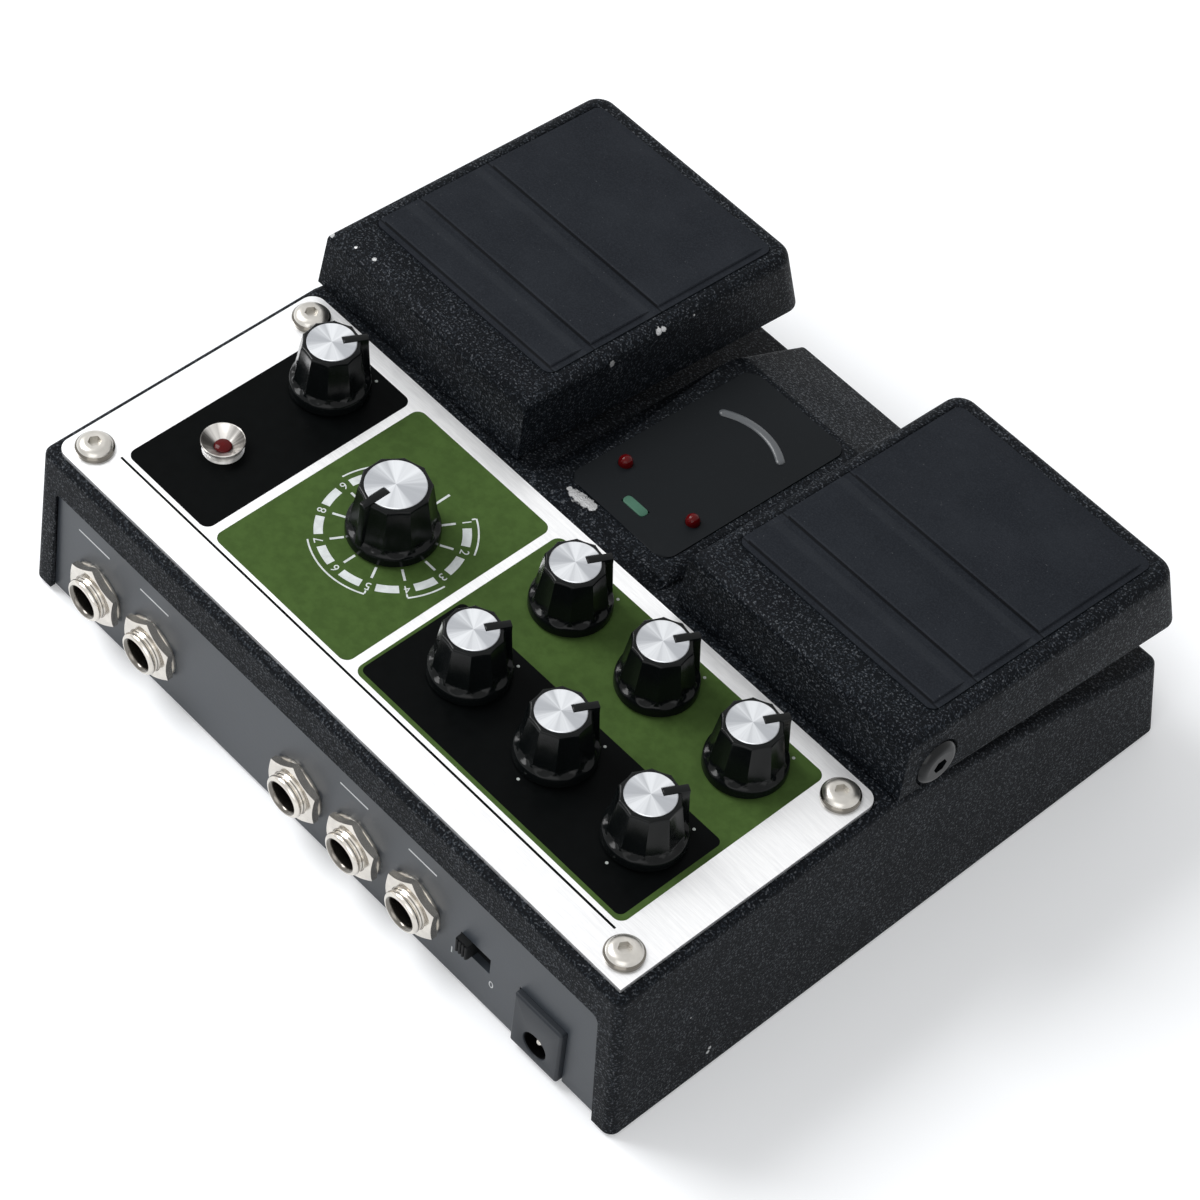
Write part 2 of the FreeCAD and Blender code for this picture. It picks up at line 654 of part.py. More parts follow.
def casing_hollow():
    """The inside of the casting, open at the bottom, with the island's own hollow."""
    body = new_body("casing_hollow", parked=True)
    half = case_half - S.wall
    profile = new_sketch(body, "YZ_Plane", [casing_profile(S.wall, S.wall)])
    pad(body, profile, 2 * half, symmetric=True)
    lean_sides(body, half, rim_z, top_z)
    inner = S.wall
    island = [
        (S.well_start, ceiling_z - S.wall),
        (S.island_start, ceiling_z),
        (S.island_start - S.island_length, ceiling_z - S.island_drop),
        (island_nose_y + 2 * inner, island_nose_z - inner),
        (island_nose_y + 2 * inner, nose_z - 2 * inner),
    ]
    sketch = new_sketch(body, "YZ_Plane", [island])
    pad(body, sketch, S.island_width - 2 * S.wall, symmetric=True)
    return body


def leaning_box(half, low, high):
    """Box in the rear opening, whose sides lean in with the casing's walls."""
    foot = half - (low - rim_z) * side_lean
    head = half - (high - rim_z) * side_lean
    return [(-1 * foot, low), (foot, low), (head, high), (-1 * head, high)]


def rear_opening(body):
    """Opening for the socket panel, and the grooves in the walls that hold it."""
    head = rim_z + S.rear_opening_height
    below = rim_z - S.wall
    window = new_sketch(body, "XZ_Plane", [leaning_box(opening_half, below, head)],
                        offset=-(S.case_back + S.wall))
    pocket(body, window, 4 * S.wall, backwards=True)
    groove = new_sketch(body, "XZ_Plane",
                        [leaning_box(opening_half + S.groove_depth, below,
                                     head + S.groove_depth)],
                        offset=-(S.panel_face + S.panel_gap))
    pocket(body, groove, S.panel_thickness + 2 * S.panel_gap, backwards=True)

    def head_corner(edge):
        box = edge.BoundBox
        at_head = abs(box.ZMin - float(head)) < TOUCH and box.ZLength < TOUCH
        return at_head and box.XLength < TOUCH and box.YLength > TOUCH

    round_edges(body, head_corner, S.opening_corner)


def control_holes(body, start_z, depth):
    """Holes for the necks of the controls, drilled down from one level."""
    small = S.bushing_radius + S.bushing_gap
    circles = [(x, y, small) for x, y in level_places.values()]
    circles.append((S.selector_x, S.selector_y, S.switch_neck_radius + S.bushing_gap))
    circles.append((peak_x, S.peak_y, S.bezel_stem_radius + S.bushing_gap))
    sketch = new_sketch(body, "XY_Plane", circles=circles, offset=start_z)
    pocket(body, sketch, depth)


def screw_holes(body, radius, places, start_z, depth, upwards=False):
    circles = [(x, y, radius) for x, y in places]
    sketch = new_sketch(body, "XY_Plane", circles=circles, offset=start_z)
    pocket(body, sketch, depth, backwards=upwards)


def plate_screw_spots():
    return [(side * screw_half, y) for side in (-1, 1) for y in plate_screw_ys]


def base_screw_spots():
    return [(side * screw_half, y) for side in (-1, 1)
            for y in (-S.base_boss_front, plate_screw_ys[0], plate_screw_ys[1])]


def casing_pillars(body):
    """Pillars from the ceiling to the base plate, one under each casing screw."""
    floor_z = rim_z + S.base_thickness
    rear = [(x, y, S.base_boss_radius) for x, y in base_screw_spots()
            if float(y) > 0]
    front = [(x, y, S.base_boss_radius) for x, y in base_screw_spots()
             if float(y) < 0]
    sketch = new_sketch(body, "XY_Plane", circles=rear, offset=floor_z)
    pad(body, sketch, ceiling_z - floor_z + S.wall / 2)
    sketch = new_sketch(body, "XY_Plane", circles=front, offset=floor_z)
    pad(body, sketch, well_z(-(S.base_boss_front + S.base_boss_radius)) - S.wall / 2 - floor_z)


def hinge_ears(body):
    """Two upright ears inside each pedal that carry its hinge pins."""
    y = -S.hinge_reach
    root_z = well_z(y) - S.wall / 2
    made = []
    starts = (cavity_inner + S.ear_gap, cavity_outer - S.ear_gap - S.ear_thickness)
    for start in starts:
        tongue = box_points(y - S.ear_radius, y + S.ear_radius, root_z, S.hinge_height)
        sketch = new_sketch(body, "YZ_Plane", [tongue], offset=start)
        made.append(pad(body, sketch, S.ear_thickness))
        sketch = new_sketch(body, "YZ_Plane", circles=[(y, S.hinge_height, S.ear_radius)],
                            offset=start)
        made.append(pad(body, sketch, S.ear_thickness))
    mirror(body, made)
    bore = new_sketch(body, "YZ_Plane", circles=[(y, S.hinge_height, S.hinge_radius)])
    pocket(body, bore, S.case_width, symmetric=True)


def pedal_seats(body):
    """Round seats on the sloping top for the springs and the foot switches."""
    for reach, radius, seat_z in (
            (S.spring_reach, S.spring_seat_radius, S.spring_seat_z),
            (S.foot_switch_reach, S.foot_switch_seat_radius, S.foot_switch_seat_z)):
        root_z = well_z(-(reach + radius)) - S.wall / 4
        circles = [(side * pedal_middle, -reach, radius) for side in (-1, 1)]
        sketch = new_sketch(body, "XY_Plane", circles=circles, offset=root_z)
        pad(body, sketch, seat_z - root_z)


def display_profile(depth, gap):
    """Side outline of the display plate's place on the island."""
    rear = -S.display_rear + gap
    front = -(S.display_rear + S.display_length) - gap
    return [
        (rear, island_z(rear) - S.display_depth),
        (rear, island_z(rear) - S.display_depth + depth),
        (front, island_z(front) - S.display_depth + depth),
        (front, island_z(front) - S.display_depth),
    ]


def island(body):
    root_z = nose_z - S.wall
    outline = [
        (S.well_start, top_z - S.wall),
        (S.well_start, top_z),
        (S.island_start, top_z),
        (S.island_start - S.island_length, top_z - S.island_drop),
        (island_nose_y, island_nose_z),
        (island_nose_y - S.wall / 2, root_z),
    ]
    sketch = new_sketch(body, "YZ_Plane", [outline])
    pad(body, sketch, S.island_width, symmetric=True)


def lamp_holes(body):
    """Holes down through the island for its three lamps."""
    start_z = top_z + S.wall
    depth = 2 * S.wall + S.lamp_length
    gap = S.screw_gap
    circles = [(side * S.lamp_spacing / 2, -S.lamp_reach, S.lamp_radius + gap)
               for side in (-1, 1)]
    half = S.power_lamp_width / 2 + gap
    deep = S.power_lamp_depth / 2 + gap
    y = -S.power_lamp_reach
    window = box_points(-half, half, y - deep, y + deep)
    sketch = new_sketch(body, "XY_Plane", [window], circles, offset=start_z)
    pocket(body, sketch, depth)


def make_casing():
    body = new_body("casing")
    profile = new_sketch(body, "YZ_Plane", [casing_profile(None, 0.0)])
    pad(body, profile, S.case_width, symmetric=True)
    lean_sides(body, case_half, rim_z, top_z)
    round_edges(body, is_upright, S.corner_radius)
    island(body)

    def along_top(edge):
        box = edge.BoundBox
        outer = box.XMax > float(S.island_width) or box.XMin < -float(S.island_width)
        return outer and box.ZMin > float(nose_z) - SLACK

    round_edges(body, along_top, S.rim_radius)

    def island_ridge(edge):
        box = edge.BoundBox
        at_side = abs(abs(box.XMin) - float(S.island_width) / 2) < TOUCH
        straight = box.XLength < TOUCH
        sloping = box.YMax < float(S.well_start) - TOUCH
        exposed = sloping and box.ZMax > float(well_z(box.YMax)) + SLACK
        above_nose = box.ZMin > float(island_nose_z) - SLACK
        return at_side and straight and exposed and above_nose and not is_upright(edge)

    round_edges(body, island_ridge, S.island_radius)
    combine(body, casing_hollow(), "Cut")
    rear_opening(body)
    casing_pillars(body)
    hinge_ears(body)
    pedal_seats(body)
    gap = S.screw_gap
    recess = new_sketch(body, "YZ_Plane", [display_profile(S.wall, gap)])
    pocket(body, recess, S.display_width + 2 * gap, symmetric=True)
    recess_half = S.display_width / 2 + gap
    round_edges(body, lambda edge: is_tall_corner(edge, recess_half), S.display_radius + gap)
    lamp_holes(body)
    control_holes(body, plate_z, S.plate_thickness + 2 * S.wall)
    screw_holes(body, S.plate_screw_radius, plate_screw_spots(), plate_z,
                S.plate_thickness + S.plate_screw_length)
    screw_holes(body, S.base_screw_radius, base_screw_spots(), rim_z,
                S.base_thickness + S.base_screw_length, upwards=True)


# Base and battery bay


def make_base_plate():
    body = new_body("base_plate")
    half = case_half - S.wall - S.base_gap
    back = panel_inner - S.panel_gap - S.base_gap
    outline = box_points(-half, half, base_front_y, back)
    door_half = door_width / 2 + S.door_gap
    opening = box_points(-door_half, door_half, door_front_y - S.door_gap,
                         door_front_y + door_depth + S.door_gap)
    sketch = new_sketch(body, "XY_Plane", [outline, opening], offset=rim_z)
    pad(body, sketch, S.base_thickness)
    round_edges(body, lambda edge: is_tall_corner(edge, half), S.base_radius)
    across = case_half - S.main_board_side - S.standoff_inset
    ys = (S.main_board_front + S.standoff_inset,
          S.main_board_front + S.main_board_depth - S.standoff_inset)
    circles = [(side * across, y, S.standoff_radius) for side in (-1, 1) for y in ys]
    pillars = new_sketch(body, "XY_Plane", circles=circles, offset=rim_z + S.base_thickness / 2)
    pad(body, pillars, S.main_board_z - rim_z - S.base_thickness / 2)
    screw_holes(body, S.base_screw_radius + S.screw_gap, base_screw_spots(), rim_z,
                S.base_thickness, upwards=True)


def is_tall_corner(edge, half):
    """True for a short upright edge at the outer corners of a plate."""
    box = edge.BoundBox
    return box.XLength < TOUCH and box.YLength < TOUCH and abs(abs(box.XMin) - float(half)) < TOUCH


def make_battery_door():
    body = new_body("battery_door")
    half = door_width / 2
    back = door_front_y + door_depth
    sketch = new_sketch(body, "XY_Plane", [box_points(-half, half, door_front_y, back)],
                        offset=rim_z)
    pad(body, sketch, S.base_thickness)
    round_edges(body, lambda edge: is_tall_corner(edge, half), S.base_thickness)
    tab = box_points(-S.door_tab_width / 2, S.door_tab_width / 2,
                     back - 2 * S.door_tab_depth, back - S.door_tab_depth)
    sketch = new_sketch(body, "XY_Plane", [tab], offset=rim_z)
    pocket(body, sketch, S.door_tab_sink, backwards=True)


def make_battery_box():
    body = new_body("battery_box")
    floor_z = rim_z + S.base_thickness
    half = bay_width / 2
    back = -S.bay_front + bay_depth
    sketch = new_sketch(body, "XY_Plane", [box_points(-half, half, -S.bay_front, back)],
                        offset=floor_z)
    pad(body, sketch, bay_height)
    inner = half - S.bay_wall
    hollow = box_points(-inner, inner, -S.bay_front + S.bay_wall, back - S.bay_wall)
    sketch = new_sketch(body, "XY_Plane", [hollow], offset=floor_z)
    pocket(body, sketch, bay_height - S.bay_wall, backwards=True)


def make_battery_cells():
    """Six cells lie across the bay in two columns of three."""
    cell = new_body("battery_cell", parked=True)
    half = S.cell_length / 2
    profile = [
        (-half, 0.0),
        (-half, S.cell_radius),
        (half, S.cell_radius),
        (half, S.cell_nub_radius),
        (half + S.cell_nub, S.cell_nub_radius),
        (half + S.cell_nub, 0.0),
    ]
    spin(cell, new_sketch(cell, "XZ_Plane", [profile]), axis="H_Axis")
    middle_y = -S.bay_front + bay_depth / 2
    cell_z = rim_z + S.base_thickness + bay_height / 2 - S.bay_wall / 2
    shift = (S.cell_length + S.cell_nub) / 2 + S.cell_nub / 4
    places = []
    for column in (-1, 1):
        for row in (-1, 0, 1):
            places.append((column * shift - S.cell_nub / 2, middle_y + row * S.cell_pitch, cell_z))
    gather("battery_cells", cell, places)


def make_rubber_feet():
    foot = new_body("rubber_foot", parked=True)
    sketch = new_sketch(foot, "XY_Plane", circles=[(0.0, 0.0, S.foot_radius)])
    pad(foot, sketch, S.foot_height)
    gather("rubber_feet", foot,
           corner_places(case_half - S.foot_side, -S.foot_front, S.foot_back, 0.0))


def make_base_screws():
    screw = new_body("base_screw", parked=True)
    profile = [
        (0.0, -S.base_head_height),
        (S.base_head_radius, -S.base_head_height),
        (S.base_head_radius, 0.0),
        (S.base_screw_radius, 0.0),
        (S.base_screw_radius, S.base_screw_length),
        (0.0, S.base_screw_length),
    ]
    spin(screw, new_sketch(screw, "XZ_Plane", [profile]))
    gather("base_screws", screw, [(x, y, rim_z) for x, y in base_screw_spots()])


# Control plate


def make_control_plate():
    body = new_body("control_plate")
    outline = box_points(-plate_half, plate_half, S.plate_front, plate_back)
    sketch = new_sketch(body, "XY_Plane", [outline], offset=top_z)
    pad(body, sketch, S.plate_thickness)

    def rounded(edge):
        box = edge.BoundBox
        sharp = box.XMin < 0 and box.YMin > float(plate_back) - SLACK
        return is_tall_corner(edge, plate_half) and not sharp

    round_edges(body, rounded, S.plate_radius)
    control_holes(body, plate_z, S.plate_thickness)
    screw_holes(body, S.plate_screw_radius + S.screw_gap, plate_screw_spots(), plate_z,
                S.plate_thickness)


def button_screw(name, radius, length, head_radius, head_height, socket, socket_depth):
    """A screw that hangs down from a domed head with a hex socket."""
    screw = new_body(name, parked=True)
    profile = [
        (0.0, -length),
        (radius, -length),
        (radius, 0.0),
        (head_radius, 0.0),
        (head_radius, head_height),
        (0.0, head_height),
    ]
    spin(screw, new_sketch(screw, "XZ_Plane", [profile]))
    round_edges(screw, lambda edge: edge.BoundBox.ZMin > float(head_height) - TOUCH,
                head_height * DOME_SHARE)
    hexagon = new_sketch(screw, "XY_Plane", [hexagon_points(socket)], offset=head_height)
    pocket(screw, hexagon, socket_depth)
    return screw


def make_plate_screws():
    screw = button_screw("plate_screw", S.plate_screw_radius,
                         S.plate_thickness + S.plate_screw_length - S.screw_gap,
                         S.plate_head_radius, S.plate_head_height,
                         S.plate_head_socket, S.plate_head_socket_depth)
    gather("plate_screws", screw, [(x, y, plate_z) for x, y in plate_screw_spots()])


def make_display_plate():
    body = new_body("display_plate")
    sketch = new_sketch(body, "YZ_Plane", [display_profile(S.display_thickness, 0.0)])
    pad(body, sketch, S.display_width, symmetric=True)
    half = S.display_width / 2
    round_edges(body, lambda edge: is_tall_corner(edge, half), S.display_radius)
    lamp_holes(body)


def make_indicator_lamps():
    """Two pedal lamps on the island and the peak lamp in its holder."""
    lamp = new_body("indicator_lamp", parked=True)
    sketch = new_sketch(lamp, "XY_Plane", circles=[(0.0, 0.0, S.lamp_radius)])
    pad(lamp, sketch, S.lamp_length, backwards=True)
    round_edges(lamp, lambda edge: edge.BoundBox.ZMin > -TOUCH, S.lamp_radius * DOME_SHARE)
    lamp_z = island_z(-S.lamp_reach) + S.lamp_rise
    places = [(side * S.lamp_spacing / 2, -S.lamp_reach, lamp_z) for side in (-1, 1)]
    places.append((peak_x, S.peak_y, plate_z + S.funnel_rise + S.peak_rise))
    gather("indicator_lamps", lamp, places)


def make_power_lamp():
    body = new_body("power_lamp")
    half = S.power_lamp_width / 2
    deep = S.power_lamp_depth / 2
    y = -S.power_lamp_reach
    lens_z = island_z(y) + S.power_lamp_rise
    sketch = new_sketch(body, "XY_Plane", [box_points(-half, half, y - deep, y + deep)],
                        offset=lens_z)
    pad(body, sketch, S.power_lamp_height, backwards=True)
    round_edges(body, is_upright, deep * DOME_SHARE)


def make_peak_bezel():
    """Holder whose funnel throws the lamp's light up."""
    body = new_body("peak_bezel")
    bore = S.lamp_radius + S.screw_gap
    profile = [
        (bore, -S.bezel_stem_length),
        (S.bezel_stem_radius, -S.bezel_stem_length),
        (S.bezel_stem_radius, 0.0),
        (S.bezel_foot_radius, 0.0),
        (S.bezel_radius, S.bezel_height - S.bezel_lip),
        (S.bezel_radius, S.bezel_height),
        (S.bezel_radius - S.bezel_lip, S.bezel_height),
        (bore, S.funnel_rise),
    ]
    spin(body, new_sketch(body, "XZ_Plane", [profile]))
    place(body, peak_x, S.peak_y, plate_z)


# Knobs, shafts and controls


class KnobForm:
    """The sizes in which the small knobs and the selector differ."""

    def __init__(self, height, base, waist, top, nut_flats):
        self.height = height
        self.base = base
        self.waist = waist
        self.top = top
        self.well = nut_flats / (2 * math.cos(math.radians(HALF_TURN / HEX_SIDES))) \
            + S.nut_clearance
        self.cap = top - S.cap_rim


small_knob = KnobForm(S.knob_height, S.knob_base_radius, S.knob_waist_radius,
                      S.knob_top_radius, S.pot_nut_flats)
selector_form = KnobForm(S.selector_height, S.selector_base_radius, S.selector_waist_radius,
                         S.selector_top_radius, S.switch_nut_flats)


def knob_shell(name, form):
    """Tapered body with a flared skirt, flutes all round and a pointer fin."""
    body = new_body(name)
    skirt = S.skirt_height
    flare = skirt + S.skirt_flare
    outside = [
        (0.0, 0.0),
        (form.base, 0.0),
        (form.base, skirt),
        (form.waist, flare),
        (form.top, form.height),
        (0.0, form.height),
    ]
    spin(body, new_sketch(body, "XZ_Plane", [outside]))
    flute_z = flare + S.flute_depth
    middle = form.waist + S.flute_radius - S.flute_depth
    lean = (form.waist - form.top) / (form.height - flare)
    cutter = new_sketch(body, "XY_Plane", circles=[(middle, 0.0, S.flute_radius)],
                        offset=flute_z)
    groove = pocket(body, cutter, form.height, backwards=True)
    bind(groove, "TaperAngle", -lean.arctangent())
    doc.recompute()
    ring = body.newObject("PartDesign::PolarPattern", name + "_flutes")
    ring.Originals = [groove]
    ring.Axis = (plane(body, "Z_Axis"), [""])
    ring.Angle = FULL_TURN
    ring.setExpression("Occurrences", S.flute_count.text)
    body.Tip = ring
    half = S.fin_width / 2
    fin = [
        (S.cap_notch_reach + S.cap_gap, form.height - S.cap_sink),
        (form.top - S.fin_width, flute_z),
        (form.base - S.cap_gap, skirt),
        (form.top + S.fin_overhang, form.height - S.cap_sink),
        (form.top + S.fin_overhang - S.cap_gap, form.height + S.cap_thickness - S.cap_sink),
        (S.cap_notch_reach + S.cap_gap, form.height + S.cap_thickness - S.cap_sink),
    ]
    seat = new_sketch(body, "XY_Plane", circles=[(0.0, 0.0, form.cap + S.cap_gap)],
                      offset=form.height)
    pocket(body, seat, S.cap_sink)
    pad(body, new_sketch(body, "XZ_Plane", [fin]), 2 * half, symmetric=True)
    well = new_sketch(body, "XY_Plane", circles=[(0.0, 0.0, form.well)])
    pocket(body, well, S.knob_well_depth, backwards=True)
    bore = new_sketch(body, "XY_Plane", circles=[(0.0, 0.0, S.shaft_radius + S.shaft_gap)])
    pocket(body, bore, S.knob_well_depth + S.knob_bore_depth, backwards=True)
    return body


def knob_cap(name, form):
    """Spun metal disc, notched for the pointer fin."""
    body = new_body(name)
    sketch = new_sketch(body, "XY_Plane", circles=[(0.0, 0.0, form.cap)])
    pad(body, sketch, S.cap_thickness)
    half = S.fin_width / 2 + S.cap_gap
    notch = box_points(S.cap_notch_reach, form.cap + S.fin_width, -half, half)
    pocket(body, new_sketch(body, "XY_Plane", [notch]), S.cap_thickness, backwards=True)
    return body


def control_shaft(name):
    """Round shaft with a flat that the knob's bore grips."""
    body = new_body(name)
    sketch = new_sketch(body, "XY_Plane", circles=[(0.0, 0.0, S.shaft_radius)])
    pad(body, sketch, S.shaft_length)
    flat = S.shaft_radius - S.shaft_flat
    side = box_points(flat, 2 * S.shaft_radius, -S.shaft_radius, S.shaft_radius)
    sketch = new_sketch(body, "XY_Plane", [side], offset=S.shaft_length)
    pocket(body, sketch, S.knob_bore_depth)
    return body


def make_control(name, x, y, form, rest):
    """One knob with its cap and shaft, standing on the plate."""
    foot_z = plate_z + S.knob_lift
    shell = knob_shell(name, form)
    place(shell, x, y, foot_z, rest)
    cap = knob_cap(name.replace("knob", "cap"), form)
    place(cap, x, y, foot_z + form.height - S.cap_sink, rest)
    shaft = control_shaft(name.replace("knob", "shaft"))
    place(shaft, x, y, pot_bottom_z + S.pot_floor, rest)


def control_body(name, radius, neck_radius, parked):
    """Round body under the casing top, with a neck up through the plate."""
    body = new_body(name, parked)
    sketch = new_sketch(body, "XY_Plane", circles=[(0.0, 0.0, radius)])
    pad(body, sketch, S.pot_height)
    neck_top = plate_z + S.bushing_height - pot_bottom_z
    sketch = new_sketch(body, "XY_Plane", circles=[(0.0, 0.0, neck_radius)],
                        offset=S.pot_height / 2)
    pad(body, sketch, neck_top - S.pot_height / 2)
    bore = new_sketch(body, "XY_Plane", circles=[(0.0, 0.0, S.shaft_radius + S.shaft_gap)],
                      offset=S.pot_floor)
    pocket(body, bore, neck_top, backwards=True)
    return body


def hex_nut(name, flats, bore, height):
    nut = new_body(name, parked=True)
    sketch = new_sketch(nut, "XY_Plane", [hexagon_points(flats)], [(0.0, 0.0, bore)])
    pad(nut, sketch, height)
    return nut


def make_controls():
    for name, (x, y) in level_places.items():
        make_control(name, x, y, small_knob, S.level_rest)
    make_control("selector_knob", S.selector_x, S.selector_y, selector_form, S.selector_rest)
    pot = control_body("level_pot", S.pot_radius, S.bushing_radius, True)
    gather("pot_bodies", pot, [(x, y, pot_bottom_z) for x, y in level_places.values()])
    switch = control_body("selector_switch", S.switch_radius, S.switch_neck_radius, False)
    place(switch, S.selector_x, S.selector_y, pot_bottom_z)
    nut = hex_nut("pot_nut", S.pot_nut_flats, S.bushing_radius + S.thread_gap, S.nut_height)
    gather("pot_nuts", nut, [(x, y, plate_z) for x, y in level_places.values()])
    big = hex_nut("switch_nut", S.switch_nut_flats, S.switch_neck_radius + S.thread_gap,
                  S.nut_height)
    gather("selector_nut", big, [(S.selector_x, S.selector_y, plate_z)])


# Boards


def board(name, left, right, front, back, low):
    body = new_body(name)
    sketch = new_sketch(body, "XY_Plane", [box_points(left, right, front, back)], offset=low)
    pad(body, sketch, S.board_thickness)


def make_boards():
    half = case_half - S.control_board_side
    board("control_board", -half, half, S.control_board_front,
          S.control_board_front + S.control_board_depth, pot_bottom_z - S.board_thickness)
    half = case_half - S.main_board_side
    board("main_board", -half, half, S.main_board_front,
          S.main_board_front + S.main_board_depth, S.main_board_z)
    jack_low = S.jack_height - S.jack_body_height / 2 - S.board_thickness
    reach = jack_input_x + S.jack_body_width / 2
    left = -(dc_x - S.dc_width / 2 - S.slot_width / 4)
    board("jack_board", left, reach, panel_inner - S.jack_board_depth - S.panel_gap,
          panel_inner - S.panel_gap, jack_low)


# Sockets on the back


def make_jack_panel():
    body = new_body("jack_panel")
    half = opening_half + S.groove_depth - S.panel_gap
    low = rim_z + S.panel_lift
    high = rim_z + S.rear_opening_height + S.groove_depth - S.panel_gap
    sketch = new_sketch(body, "XZ_Plane", [leaning_box(half, low, high)],
                        offset=-S.panel_face)
    pad(body, sketch, S.panel_thickness)
    gap = S.jack_hole_gap
    holes = [(x, S.jack_height, S.jack_neck_radius + gap) for x in jack_xs]
    dc_half = S.dc_width / 2 + gap
    dc_cut = box_points(-dc_x - dc_half, -dc_x + dc_half, low - S.wall,
                        S.dc_bottom + S.dc_height + gap)
    slot = box_points(-slot_x - S.slot_width / 2, -slot_x + S.slot_width / 2,
                      S.slot_height - S.slot_opening / 2, S.slot_height + S.slot_opening / 2)
    sketch = new_sketch(body, "XZ_Plane", [dc_cut, slot], holes, offset=-S.panel_face)
    pocket(body, sketch, S.panel_thickness, backwards=True)


def make_jacks():
    half = S.jack_body_width / 2
    tall = S.jack_body_height / 2
    block = new_body("jack_body", parked=True)
    sketch = new_sketch(block, "XZ_Plane", [box_points(-half, half, -tall, tall)])
    pad(block, sketch, S.jack_body_depth)
    inner_bore = S.jack_bore_depth - S.jack_neck_length
    sketch = new_sketch(block, "XZ_Plane", circles=[(0.0, 0.0, S.jack_bore_radius)])
    pocket(block, sketch, inner_bore, backwards=True)
    gather("jack_bodies", block, [(x, panel_inner, S.jack_height) for x in jack_xs])

    neck = new_body("jack_neck", parked=True)
    sketch = new_sketch(neck, "XZ_Plane", circles=[(0.0, 0.0, S.jack_neck_radius),
                                                   (0.0, 0.0, S.jack_bore_radius)])
    pad(neck, sketch, S.jack_neck_length, backwards=True)
    bevel = S.jack_mouth_radius - S.jack_bore_radius

    def mouth(edge):
        box = edge.BoundBox
        inner = box.XMax < float(S.jack_bore_radius) + TOUCH
        return inner and box.YMin > float(S.jack_neck_length) - TOUCH

    round_edges(neck, mouth, bevel, "PartDesign::Chamfer")
    gather("jack_necks", neck, [(x, panel_inner, S.jack_height) for x in jack_xs])

    washer = new_body("jack_washer", parked=True)
    hole = S.jack_neck_radius + S.thread_gap
    sketch = new_sketch(washer, "XZ_Plane", circles=[(0.0, 0.0, S.washer_radius),
                                                     (0.0, 0.0, hole)])
    pad(washer, sketch, S.washer_thickness, backwards=True)
    gather("jack_washers", washer, [(x, S.panel_face, S.jack_height) for x in jack_xs])

    nut = new_body("jack_nut", parked=True)
    outline = hexagon_points(S.jack_nut_flats, turn=FULL_TURN / HEX_SIDES / 2)
    sketch = new_sketch(nut, "XZ_Plane", [outline], [(0.0, 0.0, hole)])
    pad(nut, sketch, S.jack_nut_height, backwards=True)
    gather("jack_nuts", nut,
           [(x, S.panel_face + S.washer_thickness, S.jack_height) for x in jack_xs])


def make_dc_socket():
    """Flanged adaptor socket with a middle pin."""
    body = new_body("dc_socket")
    half = S.dc_width / 2
    high = S.dc_bottom + S.dc_height
    flange = box_points(-dc_x - half, -dc_x + half, S.dc_bottom, high)
    front = S.panel_face + S.dc_proud
    sketch = new_sketch(body, "XZ_Plane", [flange], offset=-front)
    pad(body, sketch, S.dc_proud + S.panel_thickness)
    round_edges(body, lambda edge: edge.BoundBox.YMax > float(front) - TOUCH, S.dc_edge)
    inner_half = half - S.wall / 2
    low = rim_z + S.base_thickness + S.base_gap
    inner = box_points(-dc_x - inner_half, -dc_x + inner_half, low,
                       high - S.wall)
    sketch = new_sketch(body, "XZ_Plane", [inner], offset=-panel_inner)
    pad(body, sketch, S.dc_body_depth)
    ring = [(-dc_x, S.dc_hole_height, S.dc_hole_radius),
            (-dc_x, S.dc_hole_height, S.dc_pin_radius)]
    sketch = new_sketch(body, "XZ_Plane", circles=ring, offset=-front)
    pocket(body, sketch, S.dc_hole_depth, backwards=True)


def make_lock_switch():
    """Slide switch behind the panel, and the slider that fills part of its slot."""
    body = new_body("lock_switch_body")
    half = S.lock_body_width / 2
    tall = S.lock_body_height / 2
    outline = box_points(-slot_x - half, -slot_x + half,
                         S.slot_height - tall, S.slot_height + tall)
    sketch = new_sketch(body, "XZ_Plane", [outline], offset=-panel_inner)
    pad(body, sketch, S.lock_body_depth)
    slot_half = S.slot_width / 2
    slot_tall = S.slot_opening / 2
    channel = box_points(-slot_x - slot_half, -slot_x + slot_half,
                         S.slot_height - slot_tall, S.slot_height + slot_tall)
    sketch = new_sketch(body, "XZ_Plane", [channel], offset=-panel_inner)
    pocket(body, sketch, S.slider_sink + S.slider_gap, backwards=True)

    slider = new_body("lock_switch_slider")
    right = -slot_x + slot_half - S.slider_gap
    shape = box_points(right - S.slider_width, right,
                       S.slot_height - slot_tall + S.slider_gap,
                       S.slot_height + slot_tall - S.slider_gap)
    sketch = new_sketch(slider, "XZ_Plane", [shape], offset=-(panel_inner - S.slider_sink))
    pad(slider, sketch, S.slider_depth, backwards=True)


# Pedals


def pedal_profile(inset):
    """Side outline of a pedal, or of the hollow under it."""
    if inset is None:
        return [
            (-S.pedal_front, S.pedal_front_bottom),
            (S.pedal_rear, S.pedal_rear_bottom),
            (pedal_rear_top_y, S.pedal_top),
            (pedal_front_top_y, S.pedal_front_top),
        ]
    below = 3 * inset
    lean = S.pedal_front_lean * below / (S.pedal_front_top - S.pedal_front_bottom)
    return [
        (-S.pedal_front + inset - lean, S.pedal_front_bottom - below),
        (S.pedal_rear - inset, S.pedal_front_bottom - below),
        (pedal_rear_top_y - inset, S.pedal_top - inset - S.pad_sink),
        (pedal_front_top_y + inset, S.pedal_front_top - inset - S.pad_sink),
    ]


